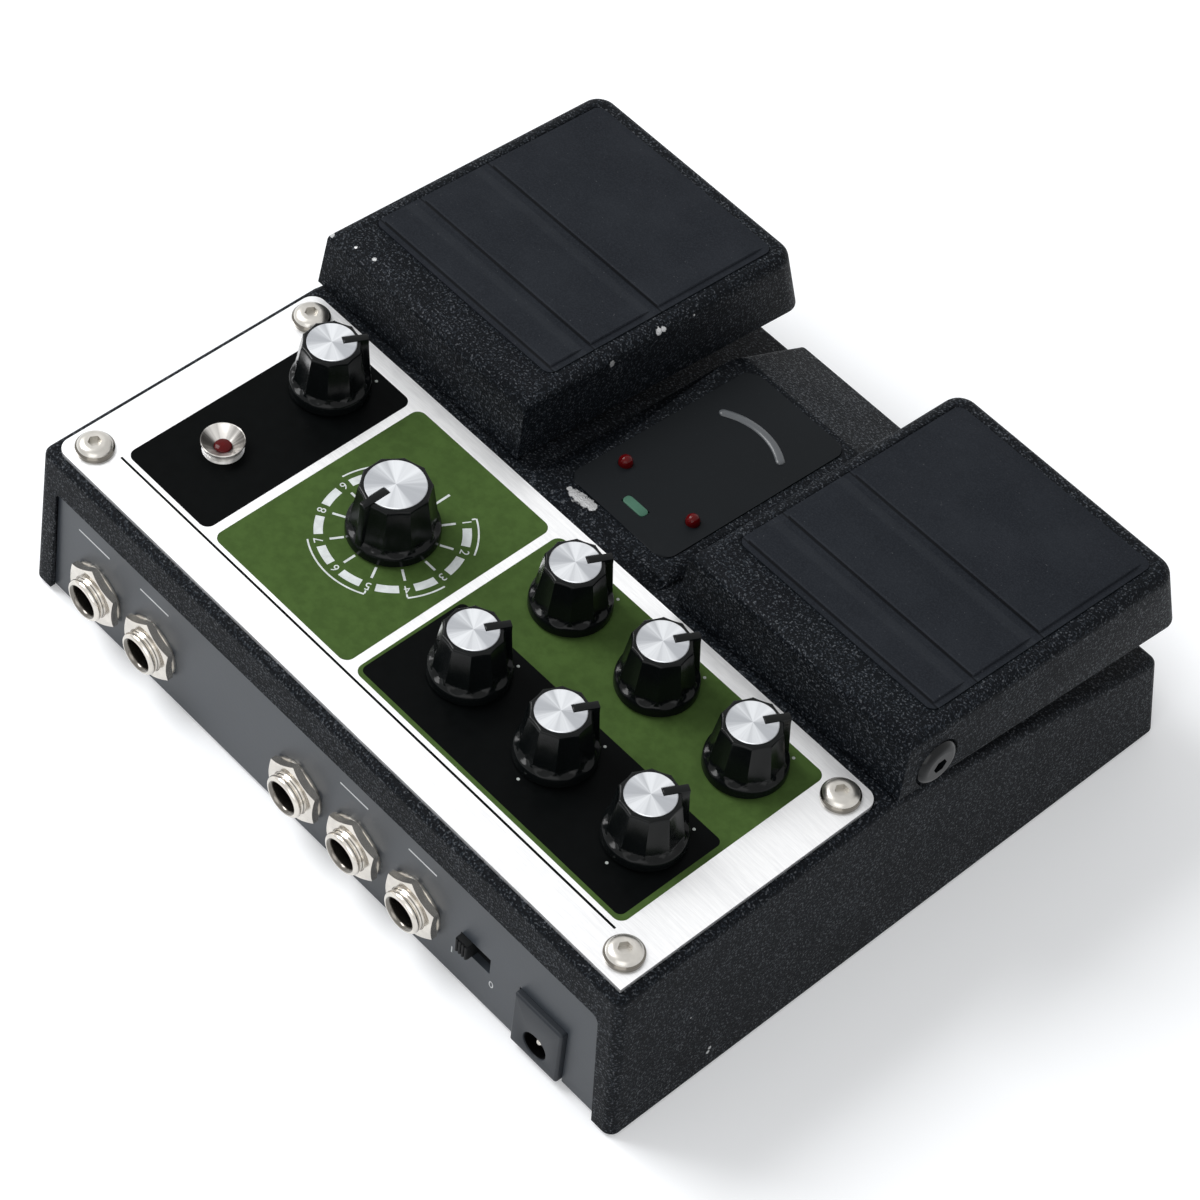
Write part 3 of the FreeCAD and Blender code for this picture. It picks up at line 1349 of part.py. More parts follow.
def lean_pedal(body):
    """Slope the two long sides inwards towards the top."""
    low = S.pedal_front_bottom
    high = S.pedal_top
    over = S.wall
    inner = [(pedal_inner - over, low), (pedal_inner, low),
             (pedal_inner + S.pedal_inner_lean, high), (pedal_inner - over, high)]
    outer = [(pedal_outer, low), (pedal_outer + over, low),
             (pedal_outer + over, high), (pedal_outer - S.pedal_outer_lean, high)]
    sketch = new_sketch(body, "XZ_Plane", [inner, outer])
    pocket(body, sketch, 2 * S.case_width, symmetric=True)


def pedal_pins(body):
    """Bore and counterbore for the hinge bolt, and a blind bore for the inner pin."""
    y = -S.hinge_reach
    radius = S.hinge_radius + S.hinge_gap
    head_face = pedal_outer - S.pedal_outer_lean / 2 - S.hinge_head_sink
    sketch = new_sketch(body, "YZ_Plane", circles=[(y, S.hinge_height, radius)],
                        offset=cavity_outer - S.pedal_wall)
    pocket(body, sketch, 3 * S.pedal_wall, backwards=True)
    sketch = new_sketch(
        body, "YZ_Plane",
        circles=[(y, S.hinge_height, S.hinge_head_radius + S.hinge_head_gap)],
        offset=head_face - S.hinge_head_gap)
    pocket(body, sketch, 2 * S.pedal_wall, backwards=True)
    sketch = new_sketch(body, "YZ_Plane", circles=[(y, S.hinge_height, radius)],
                        offset=cavity_inner - S.pedal_wall / 2 - S.hinge_head_gap)
    pocket(body, sketch, S.pedal_wall, backwards=True)


def pedal_posts(body):
    """Bosses under the top that press the spring and the foot switch."""
    drop = (S.foot_switch_reach - S.hinge_reach) * S.pedal_stroke.tangent()
    plunger_z = S.foot_switch_seat_z + S.foot_switch_height + S.plunger_height
    post_z = plunger_z + drop + S.post_gap
    for reach, radius, low in (
            (S.spring_reach, S.spring_seat_radius, S.spring_boss_z),
            (S.foot_switch_reach, S.post_radius, post_z)):
        sketch = new_sketch(body, "XY_Plane", circles=[(pedal_middle, -reach, radius)],
                            offset=low)
        pad(body, sketch, pedal_z(-reach) - S.pad_sink - S.pedal_wall / 2 - low)


def pad_place(gap):
    """Left, right, front and rear edges of the pad or of its recess."""
    return (pad_inner - gap, pad_outer + gap, -S.pad_front - gap, -S.pad_rear + gap)


def is_pad_corner(edge):
    """True for an upright edge at a corner of the pad or of its recess."""
    box = edge.BoundBox
    edge_gap = float(S.pad_gap) + TOUCH
    upright = box.XLength < TOUCH and box.YLength < TOUCH
    at_side = min(abs(box.XMin - float(pad_inner)), abs(box.XMin - float(pad_outer))) < edge_gap
    at_end = min(abs(box.YMin + float(S.pad_front)), abs(box.YMin + float(S.pad_rear))) < edge_gap
    return upright and at_side and at_end


def right_pedal():
    body = new_body("right_pedal")
    sketch = new_sketch(body, "YZ_Plane", [pedal_profile(None)], offset=pedal_inner)
    pad(body, sketch, pedal_outer - pedal_inner)
    lean_pedal(body)

    def front_corner(edge):
        box = edge.BoundBox
        at_front = box.YMax < float(pedal_front_top_y) + SLACK
        return at_front and box.ZLength > STEEPNESS * box.XLength + SLACK

    round_edges(body, front_corner, S.pedal_corner)

    def top_edge(edge):
        return edge.BoundBox.ZMin > float(S.pedal_front_top) - SLACK

    round_edges(body, top_edge, S.pedal_edge)
    hollow = new_sketch(body, "YZ_Plane", [pedal_profile(S.pedal_wall)], offset=cavity_inner)
    pocket(body, hollow, cavity_outer - cavity_inner, backwards=True)
    pedal_posts(body)
    left, right, front, rear = pad_place(S.pad_gap)
    recess = [
        (rear, pedal_z(rear) - S.pad_sink),
        (rear, S.pedal_top + S.wall),
        (front, S.pedal_top + S.wall),
        (front, pedal_z(front) - S.pad_sink),
    ]
    sketch = new_sketch(body, "YZ_Plane", [recess], offset=left)
    pocket(body, sketch, right - left, backwards=True)
    round_edges(body, is_pad_corner, S.pad_corner + S.pad_gap)
    pedal_pins(body)
    return body


def right_pad():
    """Rubber tread: three raised panels inside a border, each with a step behind it
    and a slope at its front."""
    body = new_body("right_pad")
    left, right, front, rear = pad_place(0.0)

    def level(y, rise):
        return (y, pedal_z(y) + rise)

    base = [level(rear, -S.pad_sink), level(rear, S.pad_proud),
            level(front, S.pad_proud), level(front, -S.pad_sink)]
    pad(body, new_sketch(body, "YZ_Plane", [base], offset=left), right - left)
    starts = [rear - S.pad_lip, -S.pad_ridge_one, -S.pad_ridge_two]
    ends = [S.pad_land - S.pad_ridge_one, S.pad_land - S.pad_ridge_two, front + S.pad_lip]
    high = S.pad_proud + S.pad_step
    for start, end in zip(starts, ends):
        panel = [level(start, 0.0), level(start, high), level(end + S.pad_ramp, high),
                 level(end, S.pad_proud), level(end, 0.0)]
        sketch = new_sketch(body, "YZ_Plane", [panel], offset=left + S.pad_lip)
        pad(body, sketch, right - left - 2 * S.pad_lip)
    outline = new_body("pad_outline", parked=True)
    sketch = new_sketch(outline, "XY_Plane", [box_points(left, right, front, rear)],
                        offset=S.pedal_front_bottom)
    pad(outline, sketch, S.pedal_top)
    round_edges(outline, is_pad_corner, S.pad_corner)
    combine(body, outline, "Common")
    return body


def mirror_image(name, source):
    """The left-hand piece, a mirror image of the right-hand one."""
    copy = doc.addObject("Part::Mirroring", name)
    copy.Label = name
    copy.Source = source
    copy.Normal = AXIS_X
    return copy


def make_pedals():
    nodes.append(mirror_image("left_pedal", right_pedal()))
    nodes.append(mirror_image("left_pad", right_pad()))


def make_spring(name, side):
    """Compression spring between its seat on the casing and the pedal."""
    low = S.spring_seat_z + S.spring_wire + S.spring_gap
    height = S.spring_boss_z - S.spring_seat_z - 2 * S.spring_wire - 2 * S.spring_gap
    coil = doc.addObject("Part::Helix", name + "_coil")
    coil.setExpression("Radius", S.spring_radius.text)
    coil.setExpression("Height", height.text)
    coil.setExpression("Pitch", (height / S.spring_turns).text)
    wire = doc.addObject("Part::Circle", name + "_wire")
    wire.setExpression("Radius", S.spring_wire.text)
    wire.Placement = Placement(Vector(), Rotation(AXIS_X, QUARTER_TURN))
    bind(wire, "Placement.Base.x", S.spring_radius)
    spring = doc.addObject("Part::Sweep", name)
    spring.Label = name
    spring.Sections = [wire]
    spring.Spine = (coil, [])
    spring.Solid = True
    spring.Frenet = True
    place(spring, side * pedal_middle, -S.spring_reach, low)
    nodes.append(spring)


def make_foot_switches():
    switch = new_body("foot_switch", parked=True)
    sketch = new_sketch(switch, "XY_Plane", circles=[(0.0, 0.0, S.foot_switch_radius)])
    pad(switch, sketch, S.foot_switch_height)
    sketch = new_sketch(switch, "XY_Plane", circles=[(0.0, 0.0, S.plunger_radius)],
                        offset=S.foot_switch_height)
    pad(switch, sketch, S.plunger_height)
    places = [(side * pedal_middle, -S.foot_switch_reach, S.foot_switch_seat_z)
              for side in (-1, 1)]
    gather("foot_switches", switch, places)


def make_hinge_pins():
    """A domed bolt through each pedal's outer wall and a plain pin at its inner wall."""
    body = new_body("right_hinge_pins", parked=True)
    y = -S.hinge_reach
    z = S.hinge_height
    head_face = pedal_outer - S.pedal_outer_lean / 2 - S.hinge_head_sink
    ear_outer = cavity_outer - S.ear_gap - S.ear_thickness
    ear_inner = cavity_inner + S.ear_gap
    sketch = new_sketch(body, "YZ_Plane", circles=[(y, z, S.hinge_radius)], offset=ear_outer)
    pad(body, sketch, head_face - ear_outer)
    sketch = new_sketch(body, "YZ_Plane", circles=[(y, z, S.hinge_head_radius)],
                        offset=head_face)
    pad(body, sketch, S.hinge_head_height)

    def rim(edge):
        box = edge.BoundBox
        return box.XMin > float(head_face + S.hinge_head_height) - TOUCH

    round_edges(body, rim, S.hinge_head_height * DOME_SHARE)
    flats = hexagon_points(S.hinge_socket, y, z)
    sketch = new_sketch(body, "YZ_Plane", [flats], offset=head_face + S.hinge_head_height)
    pocket(body, sketch, S.hinge_socket_depth)
    start = cavity_inner - S.pedal_wall / 2
    sketch = new_sketch(body, "YZ_Plane", circles=[(y, z, S.hinge_radius)], offset=start)
    pad(body, sketch, ear_inner + S.ear_thickness - start)
    both = doc.addObject("Part::Compound", "hinge_pins")
    both.Label = "hinge_pins"
    both.Links = [body, mirror_image("left_hinge_pins", body)]
    nodes.append(both)


make_casing()
make_base_plate()
make_battery_door()
make_battery_box()
make_battery_cells()
make_rubber_feet()
make_base_screws()
make_control_plate()
make_plate_screws()
make_display_plate()
make_indicator_lamps()
make_power_lamp()
make_peak_bezel()
make_controls()
make_boards()
make_jack_panel()
make_jacks()
make_dc_socket()
make_lock_switch()
make_pedals()
make_spring("left_spring", -1)
make_spring("right_spring", 1)
make_foot_switches()
make_hinge_pins()
doc.recompute()

failed = [item.Name for item in doc.Objects
          if "Invalid" in item.State or "Error" in item.State]
if failed:
    raise RuntimeError("objects that failed: " + ", ".join(failed))
for node in nodes:
    if node.Shape.isNull() or not node.Shape.isValid() or not node.Shape.Solids:
        raise RuntimeError("no valid solid in " + node.Label)

os.makedirs("parts", exist_ok=True)
for node in nodes:
    node.Shape.exportStep(os.path.join("parts", node.Label + ".step"))
    box = node.Shape.BoundBox
    print("%-20s %2d solids %9.1f mm3  x %.1f %.1f  y %.1f %.1f  z %.1f %.1f" % (
        node.Label, len(node.Shape.Solids), node.Shape.Volume, box.XMin, box.XMax,
        box.YMin, box.YMax, box.ZMin, box.ZMax))
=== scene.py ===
"""Dresses the tape echo pedal: castings, treads, printed plate, knobs, lamps and sockets."""

import logging
import math
from collections.abc import Callable, Iterable, Mapping, Sequence
from dataclasses import dataclass, field
from enum import Enum
from functools import partialmethod, reduce

import bmesh
import bpy
from mathutils import Matrix, Vector


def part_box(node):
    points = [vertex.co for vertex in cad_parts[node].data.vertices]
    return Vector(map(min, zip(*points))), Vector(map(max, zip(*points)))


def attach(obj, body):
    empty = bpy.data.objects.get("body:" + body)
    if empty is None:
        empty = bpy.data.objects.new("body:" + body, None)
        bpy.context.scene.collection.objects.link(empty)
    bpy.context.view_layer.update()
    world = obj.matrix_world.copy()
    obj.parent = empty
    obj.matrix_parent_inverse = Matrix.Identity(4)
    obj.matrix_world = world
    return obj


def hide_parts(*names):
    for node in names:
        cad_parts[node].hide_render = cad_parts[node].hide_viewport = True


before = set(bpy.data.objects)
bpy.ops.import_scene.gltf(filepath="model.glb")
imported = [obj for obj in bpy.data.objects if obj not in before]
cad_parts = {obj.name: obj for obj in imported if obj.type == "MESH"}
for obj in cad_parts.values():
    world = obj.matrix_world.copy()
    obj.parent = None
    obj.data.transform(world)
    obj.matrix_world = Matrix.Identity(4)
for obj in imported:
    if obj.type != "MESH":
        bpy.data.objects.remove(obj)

MM = 0.001
SHARP_ANGLE = 32.0
IDENTITY = Matrix.Identity(4)
log = logging.getLogger("tape_echo_pedal")

Colour = tuple[float, float, float]
Spot = tuple[float, float]
Point = tuple[float, float, float]
Triple = tuple[float, float, float]
Mark = tuple[float, float, float, float]
Area = tuple[float, float, float, float]
Outline = list[Spot]

# Places in millimetres that several sub-assemblies share

PLATE_TOP = 42.8
SELECTOR: Spot = (24.0, 34.6)
PEAK_LAMP: Spot = (60.7, 46.8)
LEVELS: dict[str, Spot] = {
    "rate": (-59.6, 20.1), "intensity": (-35.35, 20.1), "echo": (-11.1, 20.1),
    "bass": (-59.6, 45.8), "treble": (-35.35, 45.8), "reverb": (-11.1, 45.8),
    "input": (60.0, 20.1)}


class Slot(Enum):
    """Names of material slots for the pieces here; nothing in this script assigns them."""

    CASTING = "casing_paint"
    TREAD = "tread_rubber"
    PLATE = "panel_aluminium"
    PANEL = "panel_grey"
    PLASTIC = "dark_plastic"
    NICKEL = "nickel"
    RED_LENS = "red_lens"
    GREEN_LENS = "green_lens"
    KNOB = "knob_gloss"
    DISC = "cap_aluminium"


class Way(Enum):
    """Directions in which a turned part's own Z axis may point."""

    UP = 0.0
    BACK = -90.0

    def matrix(self) -> Matrix:
        """Turn about X that points Z this way."""
        return Matrix.Rotation(math.radians(self.value), 4, "X")


def at(x: float, y: float, z: float, way: Way = Way.UP, turn: float = 0.0) -> Matrix:
    """Place of a part in millimetres.

    Args:
        x: Position along X.
        y: Position along Y.
        z: Position along Z.
        way: Where the part's own Z axis points.
        turn: Turn about the part's own Z axis, in degrees.

    Returns:
        The matrix that puts the part there.
    """
    spin = Matrix.Rotation(math.radians(turn), 4, "Z")
    return Matrix.Translation((x, y, z)) @ way.matrix() @ spin


# Node trees as Python expressions


class Signal:
    """A node's output socket that takes part in Python arithmetic."""

    def __init__(self, nodes: "Nodes", socket: bpy.types.NodeSocket) -> None:
        """Wraps a socket of a tree."""
        self.nodes = nodes
        self.socket = socket

    def _math(self, operation: str, *others: object) -> "Signal":
        """Adds a Math node with this signal first."""
        return self.nodes.math(operation, self, *others)

    def _reflected(self, operation: str, other: object) -> "Signal":
        """Adds a Math node with this signal second."""
        return self.nodes.math(operation, other, self)

    __add__ = partialmethod(_math, "ADD")
    __radd__ = partialmethod(_reflected, "ADD")
    __sub__ = partialmethod(_math, "SUBTRACT")
    __rsub__ = partialmethod(_reflected, "SUBTRACT")
    __mul__ = partialmethod(_math, "MULTIPLY")
    __rmul__ = partialmethod(_reflected, "MULTIPLY")
    __truediv__ = partialmethod(_math, "DIVIDE")
    __rtruediv__ = partialmethod(_reflected, "DIVIDE")
    __pow__ = partialmethod(_math, "POWER")
    clipped_below = partialmethod(_math, "MAXIMUM")
    clipped_above = partialmethod(_math, "MINIMUM")

    def root(self) -> "Signal":
        """Square root of the signal."""
        return self._math("SQRT")

    def sine(self) -> "Signal":
        """Sine of the signal."""
        return self._math("SINE")

    def step(self, low: float, high: float) -> "Signal":
        """Smooth rise from 0 at low to 1 at high.

        Args:
            low: Value below which the result is 0.
            high: Value above which the result is 1.

        Returns:
            The smoothed signal.
        """
        ranges = {"Value": self, "From Min": low, "From Max": high}
        return self.nodes.node("ShaderNodeMapRange", {"interpolation_type": "SMOOTHSTEP"}, ranges)


class Nodes:
    """A node tree that is built from Python."""

    def __init__(self, tree: bpy.types.NodeTree) -> None:
        """Keeps the tree that the nodes are added to."""
        self.tree = tree

    def feed(self, socket: bpy.types.NodeSocket, value: object) -> None:
        """Links a signal to a socket or sets its value.

        Args:
            socket: The input socket.
            value: A signal, a list of signals, or a plain value.
        """
        if isinstance(value, Signal):
            self.tree.links.new(value.socket, socket)
        elif isinstance(value, list) and isinstance(value[0], Signal):
            for item in value:
                self.tree.links.new(item.socket, socket)
        elif socket.type == "RGBA" and len(value) == 3:
            socket.default_value = (*value, 1.0)
        else:
            socket.default_value = value

    def node(self, kind: str, settings: Mapping[str, object] | None = None,
             values: Mapping[str | int, object] | None = None, output: str | int = 0) -> Signal:
        """Adds one node.

        Args:
            kind: The node's type.
            settings: Its properties, set before its sockets.
            values: Values or signals of its input sockets.
            output: The output that is wanted.

        Returns:
            That output as a signal.
        """
        made = self.tree.nodes.new(kind)
        for key, value in (settings or {}).items():
            setattr(made, key, value)
        for key, value in (values or {}).items():
            self.feed(made.inputs[key], value)
        return Signal(self, made.outputs[output])

    def math(self, operation: str, *terms: object) -> Signal:
        """Adds a Math node on the given terms."""
        return self.node("ShaderNodeMath", {"operation": operation}, dict(enumerate(terms)))

    def vector_math(self, operation: str, *terms: object, output: str | int = 0) -> Signal:
        """Adds a Vector Math node on the given terms."""
        return self.node("ShaderNodeVectorMath", {"operation": operation},
                         dict(enumerate(terms)), output)

    def parts(self, vector: Signal) -> tuple[Signal, Signal, Signal]:
        """X, Y and Z of a vector signal."""
        made = self.node("ShaderNodeSeparateXYZ", values={0: vector}).socket.node
        return tuple(Signal(self, made.outputs[axis]) for axis in "XYZ")


class Graph(Nodes):
    """The nodes of one material round its Principled shader."""

    def __init__(self, name: str) -> None:
        """Makes the material.

        Args:
            name: Name of the material.
        """
        self.material = bpy.data.materials.new(name)
        self.material.use_nodes = True
        super().__init__(self.material.node_tree)
        self.shader = next(n for n in self.tree.nodes if n.type == "BSDF_PRINCIPLED")
        self.place = self.node("ShaderNodeTexCoord", output="Object")

    def centred(self, centre: Sequence[float]) -> Signal:
        """Object coordinates about a centre in millimetres."""
        return self.node("ShaderNodeMapping", {"vector_type": "TEXTURE"},
                         {"Vector": self.place, "Location": [c * MM for c in centre]})

    def noise(self, cell: float, detail: float = 2.0, roughness: float = 0.5,
              stretch: Sequence[float] | None = None) -> Signal:
        """Noise with cells of a given size.

        Args:
            cell: Size of a cell in millimetres.
            detail: Octaves.
            roughness: Weight of the finer octaves.
            stretch: Factors on X, Y and Z.

        Returns:
            A signal from 0 to 1.
        """
        where = self.vector_math("MULTIPLY", self.place, stretch) if stretch else self.place
        return self.node("ShaderNodeTexNoise", {},
                         {"Vector": where, "Scale": 1.0 / (cell * MM), "Detail": detail,
                          "Roughness": roughness})

    def cells(self, size: float, smoothness: float = 0.5) -> Signal:
        """Distance from the middle of pebble-like cells.

        Args:
            size: Size of a cell in millimetres.
            smoothness: How far the cells melt into each other.

        Returns:
            The distance, in cells.
        """
        return self.node("ShaderNodeTexVoronoi", {"feature": "SMOOTH_F1"},
                         {"Vector": self.place, "Scale": 1.0 / (size * MM),
                          "Smoothness": smoothness})

    def blend(self, factor: object, first: object, second: object) -> Signal:
        """Mixes two colours."""
        return self.node("ShaderNodeMix", {"data_type": "RGBA"},
                         {0: factor, 6: first, 7: second}, 2)

    def bump(self, height: Signal, depth: float, strength: float) -> Signal:
        """Normal of a relief.

        Args:
            height: Relief from 0 to 1.
            depth: Depth of the relief in millimetres.
            strength: Strength of the bump.

        Returns:
            The normal.
        """
        return self.node("ShaderNodeBump", {}, {"Height": height, "Distance": depth * MM,
                                                "Strength": strength})

    def distance(self, centre: Sequence[float]) -> Signal:
        """Distance in metres from a centre in millimetres."""
        return self.vector_math("DISTANCE", self.place, [c * MM for c in centre], output="Value")

    def near(self, spots: Iterable[Sequence[float]], ragged: Signal) -> Signal:
        """Mask of small ragged marks.

        Args:
            spots: X, Y, Z and radius of each mark in millimetres.
            ragged: Noise that breaks the marks' edges.

        Returns:
            1 inside the marks and 0 outside.
        """
        masks = [(1.25 - self.distance(centre) / (radius * MM) - ragged * 0.9).step(0.15, 0.3)
                 for *centre, radius in spots]
        return reduce(Signal.clipped_below, masks)

    def finish(self, values: Mapping[str, object]) -> bpy.types.Material:
        """Sets the shader's sockets.

        Args:
            values: Values or signals by socket name.

        Returns:
            The material.
        """
        for name, value in values.items():
            self.feed(self.shader.inputs[name], value)
        return self.material


# Finishes


@dataclass(frozen=True)
class PebblePaint:
    """Coarse black texture paint with a few chips down to bright metal, its pebble tops painted
    lighter as light and its hollows painted darker as shade, with painted glints.
    """

    # The next three colours are painted shade in the pebbles' hollows, painted light on their tops
    # and a painted glint.
    valley: Colour = (0.0011, 0.0020, 0.0033)
    peak: Colour = (0.0182, 0.0230, 0.0298)
    painted_glint: Colour = (0.068, 0.073, 0.080)
    grain: float = 0.42
    depth: float = 0.24
    chip: Colour = (0.48, 0.485, 0.49)
    chips: tuple[Mark, ...] = ()

    def make(self, name: str) -> bpy.types.Material:
        """Builds the material.

        Args:
            name: Name of the material.

        Returns:
            The material.
        """
        graph = Graph(name)
        pebbles = 1 - graph.cells(self.grain * 1.6, 0.2)
        grit = graph.noise(self.grain, 3.0, 0.65)
        painted_glints = graph.noise(self.grain, 1.0).step(0.60, 0.70)
        patches = graph.noise(9.0, 2.0)
        height = pebbles * 0.22 + grit * 0.78
        # Painted light and shade: the pebbles' tops lighter, their hollows darker, and sparse
        # painted glints on the tops.
        relief_light = (height + patches * 0.1).step(0.54, 0.67)
        colour = graph.blend(relief_light, self.valley, self.peak)
        colour = graph.blend(painted_glints * relief_light, colour, self.painted_glint)
        rough = 0.62 - relief_light * 0.2
        metal = 0.0
        if self.chips:
            chipped = graph.near(self.chips, graph.noise(0.9, 3.0, 0.65))
            colour = graph.blend(chipped, colour, self.chip)
            rough = rough - chipped * 0.12
            metal = chipped * 0.8
            height = height - chipped * 0.6
        return graph.finish({"Base Color": colour, "Roughness": rough, "Metallic": metal,
                             "Specular IOR Level": 0.08,
                             "Normal": graph.bump(height, self.depth, 0.9)})


@dataclass(frozen=True)
class TreadRubber:
    """Fine matt rubber, scuffed by shoes, with painted shadow in the grooves behind its panels and
    a painted sheen on the crest and ramp beside each.
    """

    colour: Colour = (0.0092, 0.0110, 0.0146)
    scuffed: Colour = (0.0165, 0.0192, 0.0242)
    speckle: Colour = (0.0205, 0.0238, 0.0295)
    dust: Colour = (0.08, 0.085, 0.09)
    # The next colour is a painted sheen, the one after it a painted shadow.
    painted_sheen: Colour = (0.034, 0.038, 0.044)
    shadow: Colour = (0.0016, 0.0020, 0.0028)
    ridges: tuple[float, ...] = ()
    land: float = 1.7
    ramp: float = 2.6

    def make(self, name: str) -> bpy.types.Material:
        """Builds the material.

        Args:
            name: Name of the material.

        Returns:
            The material.
        """
        graph = Graph(name)
        fine = graph.noise(0.35, 3.0, 0.6)
        clouds = graph.noise(14.0, 4.0, 0.62)
        scuffs = graph.noise(1.4, 4.0, 0.7, stretch=(0.28, 1.0, 1.0))
        dust = graph.noise(0.5, 1.0).step(0.74, 0.8)
        worn = clouds.step(0.3, 0.85) * (0.4 + scuffs * 0.6)
        colour = graph.blend(worn, self.colour, self.scuffed)
        colour = graph.blend(fine.step(0.4, 0.66) * 0.55, colour, self.speckle)
        colour = graph.blend(dust * 0.5, colour, self.dust)
        _, y, _ = graph.parts(graph.place)
        away = y * (1 / MM)
        # Painted shadow in the groove at each ridge, and painted sheen on a thin crest beside it
        # and on a ramp a little farther off, broken up by the scuff noise.
        for ridge in self.ridges:
            ramp_sheen = (away - (ridge + self.land)).step(0.0, 0.5) \
                * (1 - (away - (ridge + self.land + self.ramp)).step(-0.3, 0.6))
            groove_shadow = (away - ridge).step(-0.12, 0.0) * (1 - (away - ridge).step(0.1, 0.45))
            crest_sheen = (away - ridge).step(-0.7, -0.35) * (1 - (away - ridge).step(-0.25, -0.15))
            colour = graph.blend((ramp_sheen * 0.16 + crest_sheen * 0.22) * (0.4 + scuffs * 1.2), colour,
                                 self.painted_sheen)
            colour = graph.blend(groove_shadow * 0.8, colour, self.shadow)
        return graph.finish({"Base Color": colour, "Roughness": 0.62 - worn * 0.14 + fine * 0.08,
                             "Specular IOR Level": 0.06,
                             "Normal": graph.bump(fine + scuffs * 0.5, 0.035, 0.7)})


@dataclass(frozen=True)
class BrushedPlate:
    """Bright aluminium brushed along X."""

    bright: Colour = (0.90, 0.905, 0.91)
    dull: Colour = (0.80, 0.805, 0.815)

    def make(self, name: str) -> bpy.types.Material:
        """Builds the material.

        Args:
            name: Name of the material.

        Returns:
            The material.
        """
        graph = Graph(name)
        hair = graph.noise(0.16, 3.0, 0.6, stretch=(0.05, 1.0, 1.0))
        streak = graph.noise(0.7, 2.0, 0.5, stretch=(0.02, 1.0, 1.0))
        cloud = graph.noise(25.0, 3.0)
        mixed = hair * 0.55 + streak * 0.3 + cloud * 0.15
        colour = graph.blend(mixed.step(0.35, 0.66), self.dull, self.bright)
        return graph.finish({"Base Color": colour, "Metallic": 0.86,
                             "Roughness": 0.27 + hair * 0.22,
                             "Normal": graph.bump(hair + streak * 0.5, 0.012, 0.6)})


@dataclass(frozen=True)
class PrintInk:
    """Opaque ink printed on metal."""

    colour: Colour
    satin: float = 0.36
    level: float = 0.12

    def make(self, name: str) -> bpy.types.Material:
        """Builds the material.

        Args:
            name: Name of the material.

        Returns:
            The material.
        """
        graph = Graph(name)
        mottle = graph.noise(2.2, 3.0, 0.55)
        fine = graph.noise(0.18, 2.0)
        darker = tuple(c * 0.82 for c in self.colour)
        colour = graph.blend(mottle.step(0.3, 0.7), darker, self.colour)
        return graph.finish({"Base Color": colour, "Roughness": self.satin + mottle * 0.08,
                             "Specular IOR Level": self.level,
                             "Normal": graph.bump(fine, 0.004, 0.5)})


@dataclass(frozen=True)
class GlossPlastic:
    """Polished moulded plastic with fine handling marks."""

    colour: Colour = (0.0030, 0.0038, 0.0040)
    gloss: float = 0.13
    level: float = 0.15
    speck: Colour = (0.07, 0.075, 0.08)

    def make(self, name: str) -> bpy.types.Material:
        """Builds the material.

        Args:
            name: Name of the material.

        Returns:
            The material.
        """
        graph = Graph(name)
        haze = graph.noise(3.5, 3.0, 0.6)
        marks = graph.noise(0.5, 4.0, 0.7, stretch=(1.0, 1.0, 0.25))
        specks = graph.noise(0.3, 1.0).step(0.76, 0.82)
        colour = graph.blend(specks * 0.35, self.colour, self.speck)
        rough = self.gloss + haze.step(0.35, 0.8) * 0.1 + marks * 0.06
        return graph.finish({"Base Color": colour, "Roughness": rough,
                             "Specular IOR Level": self.level,
                             "Normal": graph.bump(marks, 0.01, 0.5)})


@dataclass(frozen=True)
class SpunMetal:
    """Aluminium faced on a lathe, with fine rings and a painted fan of highlights and dark
    reflections about its middle.
    """

    centre: Point
    # The next two colours are the fan's painted highlight and painted dark reflection.
    bright: Colour = (0.72, 0.74, 0.765)
    dull: Colour = (0.40, 0.415, 0.44)
    painted_glint: tuple[float, float] = (0.30, -0.95)
    ring: float = 0.2

    def make(self, name: str) -> bpy.types.Material:
        """Builds the material.

        Args:
            name: Name of the material.

        Returns:
            The material.
        """
        graph = Graph(name)
        x, y, _ = graph.parts(graph.centred(self.centre))
        radius = (x * x + y * y).root()
        flat = graph.node("ShaderNodeCombineXYZ", values={0: x, 1: y})
        away = graph.vector_math("NORMALIZE", flat)
        # Painted reflection: sectors lighter and darker round the middle, strongest along the
        # glint direction.
        fan = graph.node("ShaderNodeTexNoise", {}, {"Vector": away, "Scale": 1.7, "Detail": 4.0,
                                                    "Roughness": 0.62})
        highlight_lobe = graph.vector_math("DOT_PRODUCT", away, (*self.painted_glint, 0.0), output="Value")
        rings = (radius * (math.tau / (self.ring * MM))).sine() * 0.5 + 0.5
        light = (fan * 0.75 + highlight_lobe * highlight_lobe * 0.25 + rings * 0.03).step(0.34, 0.68)
        colour = graph.blend(light, self.dull, self.bright)
        return graph.finish({"Base Color": colour, "Metallic": 0.93,
                             "Roughness": 0.3 + fan * 0.1,
                             "Normal": graph.bump(rings, 0.004, 0.5)})


